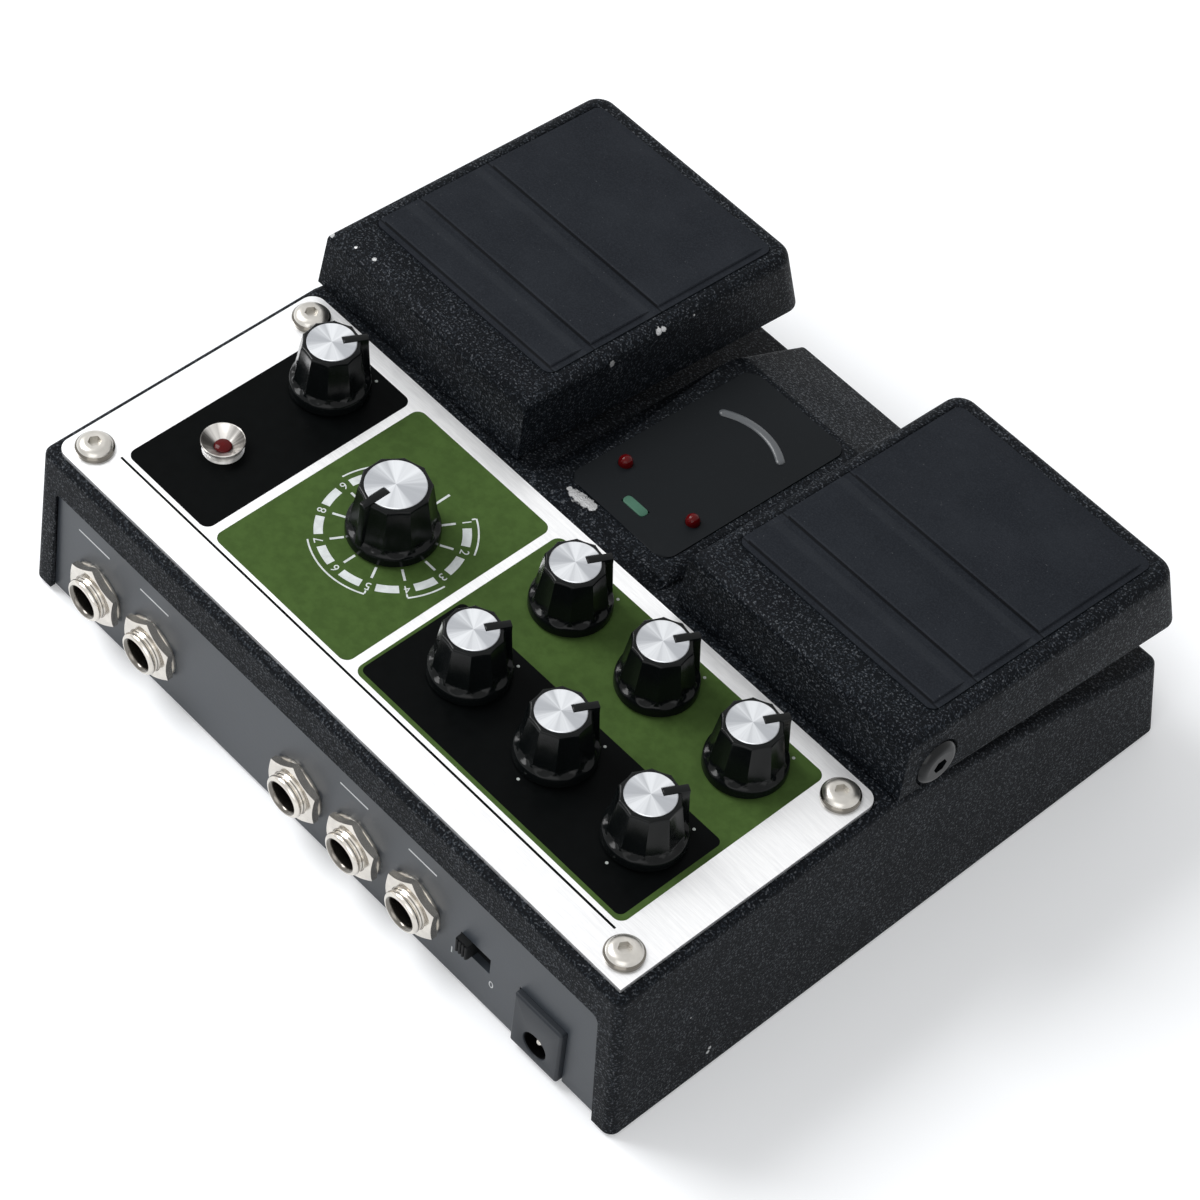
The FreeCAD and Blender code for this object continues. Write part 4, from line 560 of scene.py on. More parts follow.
@dataclass(frozen=True)
class Plating:
    """Bright or dull metal with slight handling marks, painted shade in its thread roots and
    bores, and a painted dark reflection round its domes' rims with painted shade in their sockets.
    """

    colour: Colour = (0.66, 0.63, 0.58)
    roughness: float = 0.2
    marks: float = 0.12
    shade: Colour = (0.10, 0.092, 0.080)
    thread: Triple | None = None
    pitch: float = 0.62
    bores: tuple[Spot, ...] = ()
    bore: float = 3.95
    domes: tuple[Point, ...] = ()
    dome_radius: float = 3.7

    def make(self, name: str) -> bpy.types.Material:
        """Builds the material.

        Args:
            name: Name of the material.

        Returns:
            The material.
        """
        graph = Graph(name)
        cloud = graph.noise(3.0, 3.0, 0.55)
        fine = graph.noise(0.25, 3.0, 0.6)
        dull = tuple(c * 0.84 for c in self.colour)
        colour = graph.blend(cloud.step(0.3, 0.75), dull, self.colour)
        # Painted shade in the roots of the thread.
        if self.thread:
            start, begin, end = self.thread
            _, y, _ = graph.parts(graph.place)
            away = y * (1 / MM)
            turns = ((away - start) * (math.tau / self.pitch)).sine()
            grooves = turns.step(0.0, 0.85) * away.step(begin, begin + 0.1) \
                * (1 - away.step(end - 0.1, end))
            colour = graph.blend(grooves * 0.85, colour, self.shade)
        # Painted shade inside each bore.
        if self.bores:
            across = graph.vector_math("MULTIPLY", graph.place, (1.0, 0.0, 1.0))
            reaches = [graph.vector_math("DISTANCE", across, (x * MM, 0.0, z * MM),
                                         output="Value") for x, z in self.bores]
            nearest = reduce(Signal.clipped_above, reaches) * (1 / MM)
            inside = 1 - nearest.step(self.bore - 0.12, self.bore)
            colour = graph.blend(inside * 0.86, colour, self.shade)
        # Painted dark reflection round each dome's rim and painted shade in its socket.
        if self.domes:
            nearest = reduce(Signal.clipped_above, [graph.distance(c) for c in self.domes])
            rim = nearest / (self.dome_radius * MM)
            low = rim.step(0.46, 0.98)
            socket_shade = 1 - rim.step(0.30, 0.44)
            colour = graph.blend(low * 0.85 + socket_shade * 0.45, colour, self.shade)
        return graph.finish({"Base Color": colour, "Metallic": 0.97,
                             "Roughness": self.roughness + cloud * self.marks,
                             "Normal": graph.bump(fine, 0.006, 0.6)})


@dataclass(frozen=True)
class SatinPaint:
    """Smooth satin paint with faint orange peel and dust."""

    colour: Colour
    roughness: float = 0.4
    level: float = 0.5

    def make(self, name: str) -> bpy.types.Material:
        """Builds the material.

        Args:
            name: Name of the material.

        Returns:
            The material.
        """
        graph = Graph(name)
        peel = graph.noise(0.9, 2.0)
        cloud = graph.noise(16.0, 3.0)
        dust = graph.noise(0.45, 1.0).step(0.75, 0.82)
        colour = graph.blend(cloud.step(0.3, 0.7), tuple(c * 0.86 for c in self.colour),
                             self.colour)
        colour = graph.blend(dust * 0.3, colour, tuple(c * 2.2 + 0.03 for c in self.colour))
        return graph.finish({"Base Color": colour, "Roughness": self.roughness + cloud * 0.08,
                             "Specular IOR Level": self.level,
                             "Normal": graph.bump(peel, 0.02, 0.45)})


@dataclass(frozen=True)
class MouldedPlastic:
    """Plastic with a fine spark-eroded grain."""

    colour: Colour = (0.014, 0.015, 0.017)
    grain: float = 0.28
    level: float = 0.25

    def make(self, name: str) -> bpy.types.Material:
        """Builds the material.

        Args:
            name: Name of the material.

        Returns:
            The material.
        """
        graph = Graph(name)
        grain = graph.cells(self.grain, 0.4)
        cloud = graph.noise(8.0, 2.0)
        colour = graph.blend(cloud, tuple(c * 0.8 for c in self.colour),
                             tuple(c * 1.2 for c in self.colour))
        return graph.finish({"Base Color": colour, "Roughness": 0.5 + grain * 0.1,
                             "Specular IOR Level": self.level,
                             "Normal": graph.bump(grain, 0.02, 0.6)})


@dataclass(frozen=True)
class LensPlastic:
    """Clear coloured lens, painted lighter towards its middle as a highlight."""

    colour: Colour
    highlight_core: Colour
    centres: tuple[Point, ...]
    radius: float
    gloss: float = 0.08
    level: float = 0.35

    def make(self, name: str) -> bpy.types.Material:
        """Builds the material.

        Args:
            name: Name of the material.

        Returns:
            The material.
        """
        graph = Graph(name)
        nearest = reduce(Signal.clipped_above, [graph.distance(c) for c in self.centres])
        # Painted highlight: each lens lighter towards its middle.
        spots = 1 - (nearest / (self.radius * MM)).step(0.25, 1.0)
        cloud = graph.noise(0.5, 2.0)
        colour = graph.blend(spots * (0.7 + cloud * 0.3), self.colour, self.highlight_core)
        return graph.finish({"Base Color": colour, "Roughness": self.gloss + cloud * 0.05,
                             "Specular IOR Level": self.level,
                             "Normal": graph.bump(cloud, 0.01, 0.3)})


@dataclass(frozen=True)
class SolderMask:
    """Green board with copper tracks under its mask."""

    mask: Colour = (0.012, 0.085, 0.032)
    track: Colour = (0.028, 0.15, 0.06)

    def make(self, name: str) -> bpy.types.Material:
        """Builds the material.

        Args:
            name: Name of the material.

        Returns:
            The material.
        """
        graph = Graph(name)
        x, _, _ = graph.parts(graph.place)
        bands = graph.noise(6.0, 1.0, stretch=(1.0, 0.12, 1.0)) * 0.6
        lines = ((x / (1.9 * MM) + bands * 6.0) * math.tau).sine()
        rows = graph.noise(11.0, 1.0, stretch=(0.2, 1.0, 1.0)).step(0.45, 0.5)
        copper = lines.step(0.3, 0.5) * rows
        pads = graph.node("ShaderNodeTexVoronoi", {"feature": "F1"},
                          {"Vector": graph.place, "Scale": 1 / (5.0 * MM), "Randomness": 0.35})
        rings = 1 - pads.step(0.12, 0.16)
        colour = graph.blend(copper, self.mask, self.track)
        colour = graph.blend(rings, colour, (0.42, 0.40, 0.36))
        return graph.finish({"Base Color": colour, "Metallic": rings * 0.9, "Roughness": 0.32,
                             "Normal": graph.bump(copper + rings, 0.03, 0.6)})


@dataclass(frozen=True)
class CellWrap:
    """Printed sleeve of a dry cell, with a plain band round one end."""

    body: Colour = (0.035, 0.037, 0.042)
    band: Colour = (0.42, 0.27, 0.10)
    edges: tuple[float, float] = (14.0, 30.0)

    def make(self, name: str) -> bpy.types.Material:
        """Builds the material.

        Args:
            name: Name of the material.

        Returns:
            The material.
        """
        graph = Graph(name)
        x, _, _ = graph.parts(graph.place)
        reach = graph.math("ABSOLUTE", x)
        low, high = (edge * MM for edge in self.edges)
        banded = reach.step(low, low + 0.0002) * (1 - reach.step(high, high + 0.0002))
        crinkle = graph.noise(1.5, 3.0)
        colour = graph.blend(banded, self.body, self.band)
        return graph.finish({"Base Color": colour, "Metallic": 0.35, "Roughness": 0.28,
                             "Normal": graph.bump(crinkle, 0.03, 0.4)})


# Shapes in millimetres


class Shape:
    """Corners and faces of a piece in millimetres."""

    def __init__(self, corners: Iterable[Sequence[float]] = (),
                 faces: Iterable[Sequence[int]] = ()) -> None:
        """Keeps corners and faces."""
        self.corners = [Vector(c) for c in corners]
        self.faces = [tuple(f) for f in faces]

    def join(self, other: "Shape", place: Matrix = IDENTITY) -> "Shape":
        """Adds another shape at a place.

        Args:
            other: The shape that is added.
            place: Where it goes.

        Returns:
            This shape.
        """
        first = len(self.corners)
        self.corners.extend(place @ corner for corner in other.corners)
        self.faces.extend(tuple(first + i for i in face) for face in other.faces)
        return self

    def repeated(self, places: Iterable[Matrix]) -> "Shape":
        """Copies of the shape at several places.

        Args:
            places: One matrix for each copy.

        Returns:
            One shape with all the copies.
        """
        whole = Shape()
        for place in places:
            whole.join(self, place)
        return whole

    def mesh(self, name: str, sharp: float = SHARP_ANGLE) -> bpy.types.Mesh:
        """Makes the mesh in metres.

        Args:
            name: Name of the mesh.
            sharp: Angle in degrees above which an edge stays sharp.

        Returns:
            The mesh, smooth between its sharp edges.
        """
        mesh = bpy.data.meshes.new(name)
        mesh.from_pydata([corner * MM for corner in self.corners], [], self.faces)
        mesh.update()
        shade(mesh, sharp)
        return mesh


def shade(mesh: bpy.types.Mesh, sharp: float) -> None:
    """Shades a mesh smooth between edges sharper than an angle in degrees."""
    mesh.shade_smooth()
    mesh.set_sharp_from_angle(angle=math.radians(sharp))


def shape_of(mesh: bpy.types.Mesh) -> Shape:
    """Shape with a mesh's corners and faces."""
    return Shape([v.co for v in mesh.vertices], [tuple(p.vertices) for p in mesh.polygons])


def turned(profile: Sequence[Spot], segments: int = 64,
           reach: Callable[[int, float, float], float] | None = None,
           loop: bool = False) -> Shape:
    """Turns a profile about Z.

    Args:
        profile: Radius and height of each point, with the solid on the left.
        segments: Steps round the axis.
        reach: Gives the radius for a point's number, its radius and an angle.
        loop: Whether the profile closes on its first point.

    Returns:
        The turned shape.
    """
    shape = Shape()
    rings: list[list[int]] = []
    for index, (radius, height) in enumerate(profile):
        first = len(shape.corners)
        if radius == 0.0:
            shape.corners.append(Vector((0.0, 0.0, height)))
            rings.append([first] * segments)
            continue
        for step in range(segments):
            angle = math.tau * step / segments
            there = reach(index, radius, angle) if reach else radius
            shape.corners.append(Vector((there * math.cos(angle), there * math.sin(angle),
                                         height)))
        rings.append([first + step for step in range(segments)])
    pairs = list(zip(rings, rings[1:])) + ([(rings[-1], rings[0])] if loop else [])
    for low, high in pairs:
        for step in range(segments):
            after = (step + 1) % segments
            face = [low[step], low[after], high[after], high[step]]
            face = [v for i, v in enumerate(face) if v != face[i - 1]]
            if len(face) > 2:
                shape.faces.append(tuple(face))
    return shape


def lofted(rings: Sequence[Sequence[Vector]]) -> Shape:
    """Skin through rings of as many points each, closed at both ends.

    Args:
        rings: The rings, clockwise as seen from where the first one faces.

    Returns:
        The closed shape.
    """
    shape = Shape([point for ring in rings for point in ring])
    count = len(rings[0])
    for level in range(len(rings) - 1):
        for i in range(count):
            j = (i + 1) % count
            a, b = level * count, (level + 1) * count
            shape.faces.append((a + i, a + j, b + j, b + i))
    shape.faces.append(tuple(reversed(range(count))))
    shape.faces.append(tuple(range(len(shape.corners) - count, len(shape.corners))))
    return shape


def arc(x: float, y: float, radius: float, start: float, end: float, steps: int = 8) -> Outline:
    """Points on an arc in the plane, angles in degrees."""
    turn = [math.radians(start + (end - start) * i / steps) for i in range(steps + 1)]
    return [(x + radius * math.cos(a), y + radius * math.sin(a)) for a in turn]


def circle(x: float, y: float, radius: float, steps: int = 48) -> Outline:
    """Points on a circle in the plane."""
    return arc(x, y, radius, 0.0, 360.0, steps)[:-1]


def rounded_box(left: float, low: float, right: float, high: float, radius: float) -> Outline:
    """Outline of a box with round corners.

    Args:
        left: Lowest X.
        low: Lowest Y.
        right: Highest X.
        high: Highest Y.
        radius: Radius of the corners.

    Returns:
        The outline, counter-clockwise.
    """
    corners = [(right - radius, low + radius, -90), (right - radius, high - radius, 0),
               (left + radius, high - radius, 90), (left + radius, low + radius, 180)]
    points: Outline = []
    for x, y, start in corners:
        points.extend(arc(x, y, radius, start, start + 90))
    return points


def sector(inner: float, outer: float, start: float, end: float, steps: int = 24) -> Outline:
    """Outline of a piece of a ring about the origin, angles in degrees."""
    return arc(0, 0, outer, start, end, steps) + arc(0, 0, inner, end, start, steps)


def prism(outlines: Sequence[Outline], low: float, high: float) -> Shape:
    """Flat solid with the area inside the outlines, holes left open.

    Args:
        outlines: The outer outline and any holes.
        low: Height of its underside.
        high: Height of its top.

    Returns:
        The closed shape.
    """
    curve = bpy.data.curves.new("outline", "CURVE")
    curve.dimensions = "2D"
    curve.fill_mode = "BOTH"
    curve.extrude = (high - low) / 2
    for outline in outlines:
        spline = curve.splines.new("POLY")
        spline.points.add(len(outline) - 1)
        for point, (x, y) in zip(spline.points, outline):
            point.co = (x, y, 0.0, 1.0)
        spline.use_cyclic_u = True
    shape = solid_of(curve)
    return Shape().join(shape, Matrix.Translation((0.0, 0.0, (low + high) / 2)))


def solid_of(curve: bpy.types.Curve) -> Shape:
    """Closed shape of a curve or text, merged and facing outwards.

    Args:
        curve: The curve or text.

    Returns:
        The shape.
    """
    holder = bpy.data.objects.new("outline", curve)
    flat = bpy.data.meshes.new_from_object(holder)
    bpy.data.objects.remove(holder)
    tool = bmesh.new()
    tool.from_mesh(flat)
    bmesh.ops.remove_doubles(tool, verts=tool.verts, dist=1e-5)
    bmesh.ops.recalc_face_normals(tool, faces=tool.faces)
    tool.to_mesh(flat)
    tool.free()
    return shape_of(flat)


def lettering(text: str, height: float, thickness: float) -> Shape:
    """Plain numbers, centred on the origin.

    Args:
        text: What is written.
        height: Height of a figure in millimetres.
        thickness: Thickness of the print.

    Returns:
        The flat shape of the figures.
    """
    figures = bpy.data.curves.new("figures", "FONT")
    figures.body = text
    figures.align_x = "CENTER"
    figures.align_y = "CENTER"
    figures.size = height / 0.72
    figures.extrude = thickness / 2
    figures.resolution_u = 3
    return solid_of(figures)


def bevelled(outline: Outline, low: float, high: float, radius: float) -> Shape:
    """Prism of an outline with all its edges rounded.

    Args:
        outline: The outline, counter-clockwise.
        low: Height of its underside.
        high: Height of its top.
        radius: Rounding of the edges, two faces wide.

    Returns:
        The rounded shape.
    """
    tool = bmesh.new()
    face = tool.faces.new([tool.verts.new((x, y, low)) for x, y in outline])
    grown = bmesh.ops.extrude_face_region(tool, geom=[face])
    raised = [v for v in grown["geom"] if isinstance(v, bmesh.types.BMVert)]
    bmesh.ops.translate(tool, verts=raised, vec=(0.0, 0.0, high - low))
    bmesh.ops.recalc_face_normals(tool, faces=tool.faces)
    sharp = [e for e in tool.edges if e.calc_face_angle(0.0) > math.radians(25.0)]
    bmesh.ops.bevel(tool, geom=sharp, offset=radius, offset_type="OFFSET", segments=2,
                    profile=0.5, affect="EDGES", clamp_overlap=True)
    mesh = bpy.data.meshes.new("rounded")
    tool.to_mesh(mesh)
    tool.free()
    return shape_of(mesh)


# Pieces


def add_piece(name: str, mesh: bpy.types.Mesh, body: str,
              finish: bpy.types.Material | None = None,
              nodes: Sequence[str] = ()) -> bpy.types.Object:
    """Puts a finished mesh on a body.

    Args:
        name: Name of the piece.
        mesh: Its mesh, in place and in metres.
        body: The body that it rides on.
        finish: Its material, where the mesh has none yet.
        nodes: The CAD nodes that it stands for.

    Returns:
        The object.
    """
    piece = bpy.data.objects.new(name, mesh)
    bpy.context.scene.collection.objects.link(piece)
    if finish:
        mesh.materials.clear()
        mesh.materials.append(finish)
    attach(piece, body)
    if nodes:
        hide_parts(*nodes)
    log.info("%s: %d faces on %s", name, len(mesh.polygons), body)
    return piece


def dress_node(node: str, finish: bpy.types.Material) -> None:
    """Puts a finish on a CAD node that keeps its shape.

    Args:
        node: The CAD node.
        finish: Its material.
    """
    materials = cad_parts[node].data.materials
    materials.clear()
    materials.append(finish)
    log.info("%s wears %s", node, finish.name)


def smooth_copy(node: str, name: str, body: str,
                finish: bpy.types.Material) -> bpy.types.Object:
    """Replaces a CAD node with a merged copy whose roundings shade smoothly.

    Args:
        node: The CAD node.
        name: Name of the copy.
        body: The body that it rides on.
        finish: Its material.

    Returns:
        The copy.
    """
    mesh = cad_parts[node].data.copy()
    tool = bmesh.new()
    tool.from_mesh(mesh)
    bmesh.ops.remove_doubles(tool, verts=tool.verts, dist=1e-6)
    bmesh.ops.dissolve_degenerate(tool, edges=tool.edges, dist=1e-6)
    tool.to_mesh(mesh)
    tool.free()
    shade(mesh, SHARP_ANGLE)
    holder = bpy.data.objects.new(name + "_draft", mesh)
    bpy.context.scene.collection.objects.link(holder)
    weighted = holder.modifiers.new("weighted", "WEIGHTED_NORMAL")
    weighted.mode = "FACE_AREA"
    weighted.keep_sharp = True
    graph = bpy.context.evaluated_depsgraph_get()
    result = bpy.data.meshes.new_from_object(holder.evaluated_get(graph))
    bpy.data.objects.remove(holder)
    return add_piece(name, result, body, finish, [node])


# Geometry Nodes recipes


class Recipe(Nodes):
    """A Geometry Nodes tree with named sizes that grows parts on points."""

    KINDS = {float: "NodeSocketFloat", int: "NodeSocketInt", Vector: "NodeSocketVector"}

    def __init__(self, name: str, sizes: Mapping[str, type]) -> None:
        """Makes the tree with its inputs.

        Args:
            name: Name of the tree.
            sizes: Type of each named size.
        """
        super().__init__(bpy.data.node_groups.new(name, "GeometryNodeTree"))
        face = self.tree.interface
        face.new_socket(name="Points", in_out="INPUT", socket_type="NodeSocketGeometry")
        for label, kind in sizes.items():
            face.new_socket(name=label, in_out="INPUT", socket_type=self.KINDS[kind])
        face.new_socket(name="Turn", in_out="INPUT", socket_type="NodeSocketVector")
        face.new_socket(name="Finish", in_out="INPUT", socket_type="NodeSocketMaterial")
        face.new_socket(name="Parts", in_out="OUTPUT", socket_type="NodeSocketGeometry")
        self.entry = self.tree.nodes.new("NodeGroupInput")

    def size(self, name: str) -> Signal:
        """One of the tree's named inputs."""
        return Signal(self, self.entry.outputs[name])

    def cylinder(self, sides: object, radius: object, depth: object, rings: int = 1) -> Signal:
        """Cylinder standing on the origin.

        Args:
            sides: Corners round it.
            radius: Its radius.
            depth: Its height.
            rings: Rings across its ends.

        Returns:
            Its geometry.
        """
        made = self.node("GeometryNodeMeshCylinder", {"fill_type": "TRIANGLE_FAN"},
                         {"Vertices": sides, "Radius": radius, "Depth": depth,
                          "Fill Segments": rings})
        return self.moved(made, z=depth * 0.5)

    def moved(self, shape: Signal, x: object = 0.0, z: object = 0.0,
              turn: object = (0.0, 0.0, 0.0)) -> Signal:
        """Geometry shifted and turned.

        Args:
            shape: The geometry.
            x: Shift along X.
            z: Shift along Z.
            turn: Euler angles.

        Returns:
            The moved geometry.
        """
        where = self.node("ShaderNodeCombineXYZ", {}, {0: x, 2: z})
        return self.node("GeometryNodeTransform", {},
                         {"Geometry": shape, "Translation": where, "Rotation": turn})

    def cut(self, shape: Signal, tools: list[Signal]) -> Signal:
        """Shape less its cutters."""
        return self.node("GeometryNodeMeshBoolean", {"operation": "DIFFERENCE"},
                         {0: shape, 1: tools})

    def shared(self, shapes: list[Signal]) -> Signal:
        """What several shapes have in common."""
        return self.node("GeometryNodeMeshBoolean", {"operation": "INTERSECT"}, {1: shapes})

    def close(self, part: Signal) -> "Recipe":
        """Repeats the part on the points and ends the tree.

        Args:
            part: Geometry of one part about its own origin.

        Returns:
            This recipe.
        """
        spread = self.node("GeometryNodeInstanceOnPoints", {},
                           {"Points": self.size("Points"), "Instance": part,
                            "Rotation": self.size("Turn")})
        real = self.node("GeometryNodeRealizeInstances", {}, {0: spread})
        dressed = self.node("GeometryNodeSetMaterial", {},
                            {"Geometry": real, "Material": self.size("Finish")})
        end = self.tree.nodes.new("NodeGroupOutput")
        self.tree.links.new(dressed.socket, end.inputs[0])
        return self

    def grow(self, name: str, points: Sequence[Sequence[float]], sizes: Mapping[str, object],
             finish: bpy.types.Material, turn: Sequence[float] = (0.0, 0.0, 0.0),
             sharp: float = 35.0) -> bpy.types.Mesh:
        """Runs the tree and keeps its result as a plain mesh.

        Args:
            name: Name of the mesh.
            points: Places of the parts in millimetres.
            sizes: Values of the named sizes, lengths in millimetres.
            finish: Their material.
            turn: Euler angles of each part in degrees.
            sharp: Angle in degrees above which an edge stays sharp.

        Returns:
            The mesh, in metres.
        """
        spots = bpy.data.meshes.new(name)
        spots.from_pydata([Vector(p) * MM for p in points], [], [])
        holder = bpy.data.objects.new(name + "_draft", spots)
        bpy.context.scene.collection.objects.link(holder)
        modifier = holder.modifiers.new(name, "NODES")
        modifier.node_group = self.tree
        values = {label: value if isinstance(value, int) else value * MM
                  for label, value in sizes.items()}
        values["Turn"] = [math.radians(angle) for angle in turn]
        values["Finish"] = finish
        for item in self.tree.interface.items_tree:
            if item.in_out == "INPUT" and item.name in values:
                modifier[item.identifier] = values[item.name]
        graph = bpy.context.evaluated_depsgraph_get()
        result = bpy.data.meshes.new_from_object(holder.evaluated_get(graph))
        holder.modifiers.remove(modifier)
        bpy.data.objects.remove(holder)
        result.name = name
        shade(result, sharp)
        return result


def screw_recipe() -> Recipe:
    """Domed heads with a sunk socket.

    Returns:
        The recipe.
    """
    recipe = Recipe("domed_screws", {"Head Radius": float, "Head Height": float,
                                     "Socket Reach": float, "Socket Depth": float,
                                     "Socket Sides": int})
    radius, height = recipe.size("Head Radius"), recipe.size("Head Height")
    head = recipe.cylinder(56, radius, height, 14)
    x, y, z = recipe.parts(recipe.node("GeometryNodeInputPosition"))
    share = ((x * x + y * y) / (radius * radius)).clipped_above(1.0)
    dome = z * ((1.0 - share * 0.88).root() - 1.0)
    lower = recipe.node("ShaderNodeCombineXYZ", {}, {2: dome})
    head = recipe.node("GeometryNodeSetPosition", {}, {"Geometry": head, "Offset": lower})
    depth = recipe.size("Socket Depth")
    socket = recipe.cylinder(recipe.size("Socket Sides"), recipe.size("Socket Reach"),
                             depth * 2.0)
    return recipe.close(recipe.cut(head, [recipe.moved(socket, z=height - depth)]))


def nut_recipe() -> Recipe:
    """Hexagon nuts whose corners are turned off.

    Returns:
        The recipe.
    """
    recipe = Recipe("hexagon_nuts", {"Half Flats": float, "Height": float, "Bore": float})
    flats, height = recipe.size("Half Flats"), recipe.size("Height")
    prism_part = recipe.cylinder(6, flats * (2.0 / math.sqrt(3.0)), height * 1.4)
    turned_off = recipe.node("GeometryNodeMeshCone", {"fill_type": "TRIANGLE_FAN"},
                             {"Vertices": 64, "Radius Top": flats * 0.985,
                              "Radius Bottom": flats + height * 1.9, "Depth": height})
    body = recipe.shared([recipe.moved(prism_part, z=height * -0.2,
                                       turn=(0.0, 0.0, math.radians(30.0))), turned_off])
    hole = recipe.moved(recipe.cylinder(48, recipe.size("Bore"), height * 3.0), z=height * -1.0)
    return recipe.close(recipe.cut(body, [hole]))


def rib_recipe() -> Recipe:
    """Round-topped ribs that lie along their own X axis.

    Returns:
        The recipe.
    """
    recipe = Recipe("grip_ribs", {"Length": float, "Radius": float})
    length = recipe.size("Length")
    bar = recipe.cylinder(16, recipe.size("Radius"), length, 2)
    return recipe.close(recipe.moved(bar, x=length * -0.5,
                                     turn=(0.0, math.radians(90.0), 0.0)))


def tick_recipe() -> Recipe:
    """Flat bars that point away from the origin, one for each step of an angle.

    Returns:
        The recipe.
    """
    recipe = Recipe("dial_ticks", {"Inner": float, "Outer": float, "Width": float,
                                   "Thickness": float, "Count": int, "First": int,
                                   "Step": int})
    inner, outer = recipe.size("Inner"), recipe.size("Outer")
    measure = recipe.node("ShaderNodeCombineXYZ", {}, {0: outer - inner,
                                                       1: recipe.size("Width"),
                                                       2: recipe.size("Thickness")})
    bar = recipe.moved(recipe.node("GeometryNodeMeshCube", {}, {"Size": measure}),
                       x=(inner + outer) * 0.5)
    points = recipe.node("GeometryNodePoints", {}, {"Count": recipe.size("Count")})
    index = recipe.node("GeometryNodeInputIndex")
    angle = (recipe.size("First") + index * recipe.size("Step")) * (math.pi / 180.0)
    turn = recipe.node("ShaderNodeCombineXYZ", {}, {2: angle})
    ring = recipe.node("GeometryNodeInstanceOnPoints", {},
                       {"Points": points, "Instance": bar, "Rotation": turn})
    return recipe.close(recipe.node("GeometryNodeRealizeInstances", {}, {0: ring}))


# Sub-assemblies


@dataclass
class Castings:
    """Casing and foot pedals in texture paint, with their rubber treads."""

    body_chips: tuple[Mark, ...] = (
        (5.0, -0.5, 41.7, 1.9), (6.6, -0.2, 41.8, 2.6), (8.3, -0.1, 41.8, 2.4),
        (9.9, 0.0, 41.8, 1.8), (11.2, -0.2, 41.7, 1.0), (-86.2, 49.6, 5.3, 0.8),
        (-86.2, 49.2, 6.3, 0.7), (-85.0, 55.0, 21.1, 0.4))
    right_chips: tuple[Mark, ...] = (
        (24.0, -34.6, 52.9, 1.4), (23.8, -35.9, 52.8, 1.1), (23.4, -21.6, 52.7, 1.2),
        (23.5, -44.2, 51.6, 0.45), (71.1, -0.4, 56.8, 0.85), (82.1, 1.4, 55.9, 1.0),
        (76.0, 0.3, 56.6, 0.5))
    left_chips: tuple[Mark, ...] = ((-84.0, -40.0, 50.0, 0.5),)
    ridges: tuple[float, ...] = (-8.8, -19.6, -38.1)

    def build(self) -> None:
        """Dresses the castings and treads."""
        # The texture paint carries painted light on its pebbles' tops, painted shade in their
        # hollows and painted glints.
        smooth_copy("casing", "casing_shell", "unit",
                    PebblePaint(chips=self.body_chips).make("casing_texture_paint"))
        for side, chips in (("right", self.right_chips), ("left", self.left_chips)):
            body = f"{side}_foot_pedal"
            paint = PebblePaint(chips=chips).make(f"{side}_pedal_texture_paint")
            smooth_copy(f"{side}_pedal", f"{side}_pedal_casting", body, paint)
            # The tread finish paints shadow in the grooves at these ridges and a sheen beside
            # them.
            rubber = TreadRubber(ridges=self.ridges).make(f"{side}_tread_rubber")
            smooth_copy(f"{side}_pad", f"{side}_tread", body, rubber)


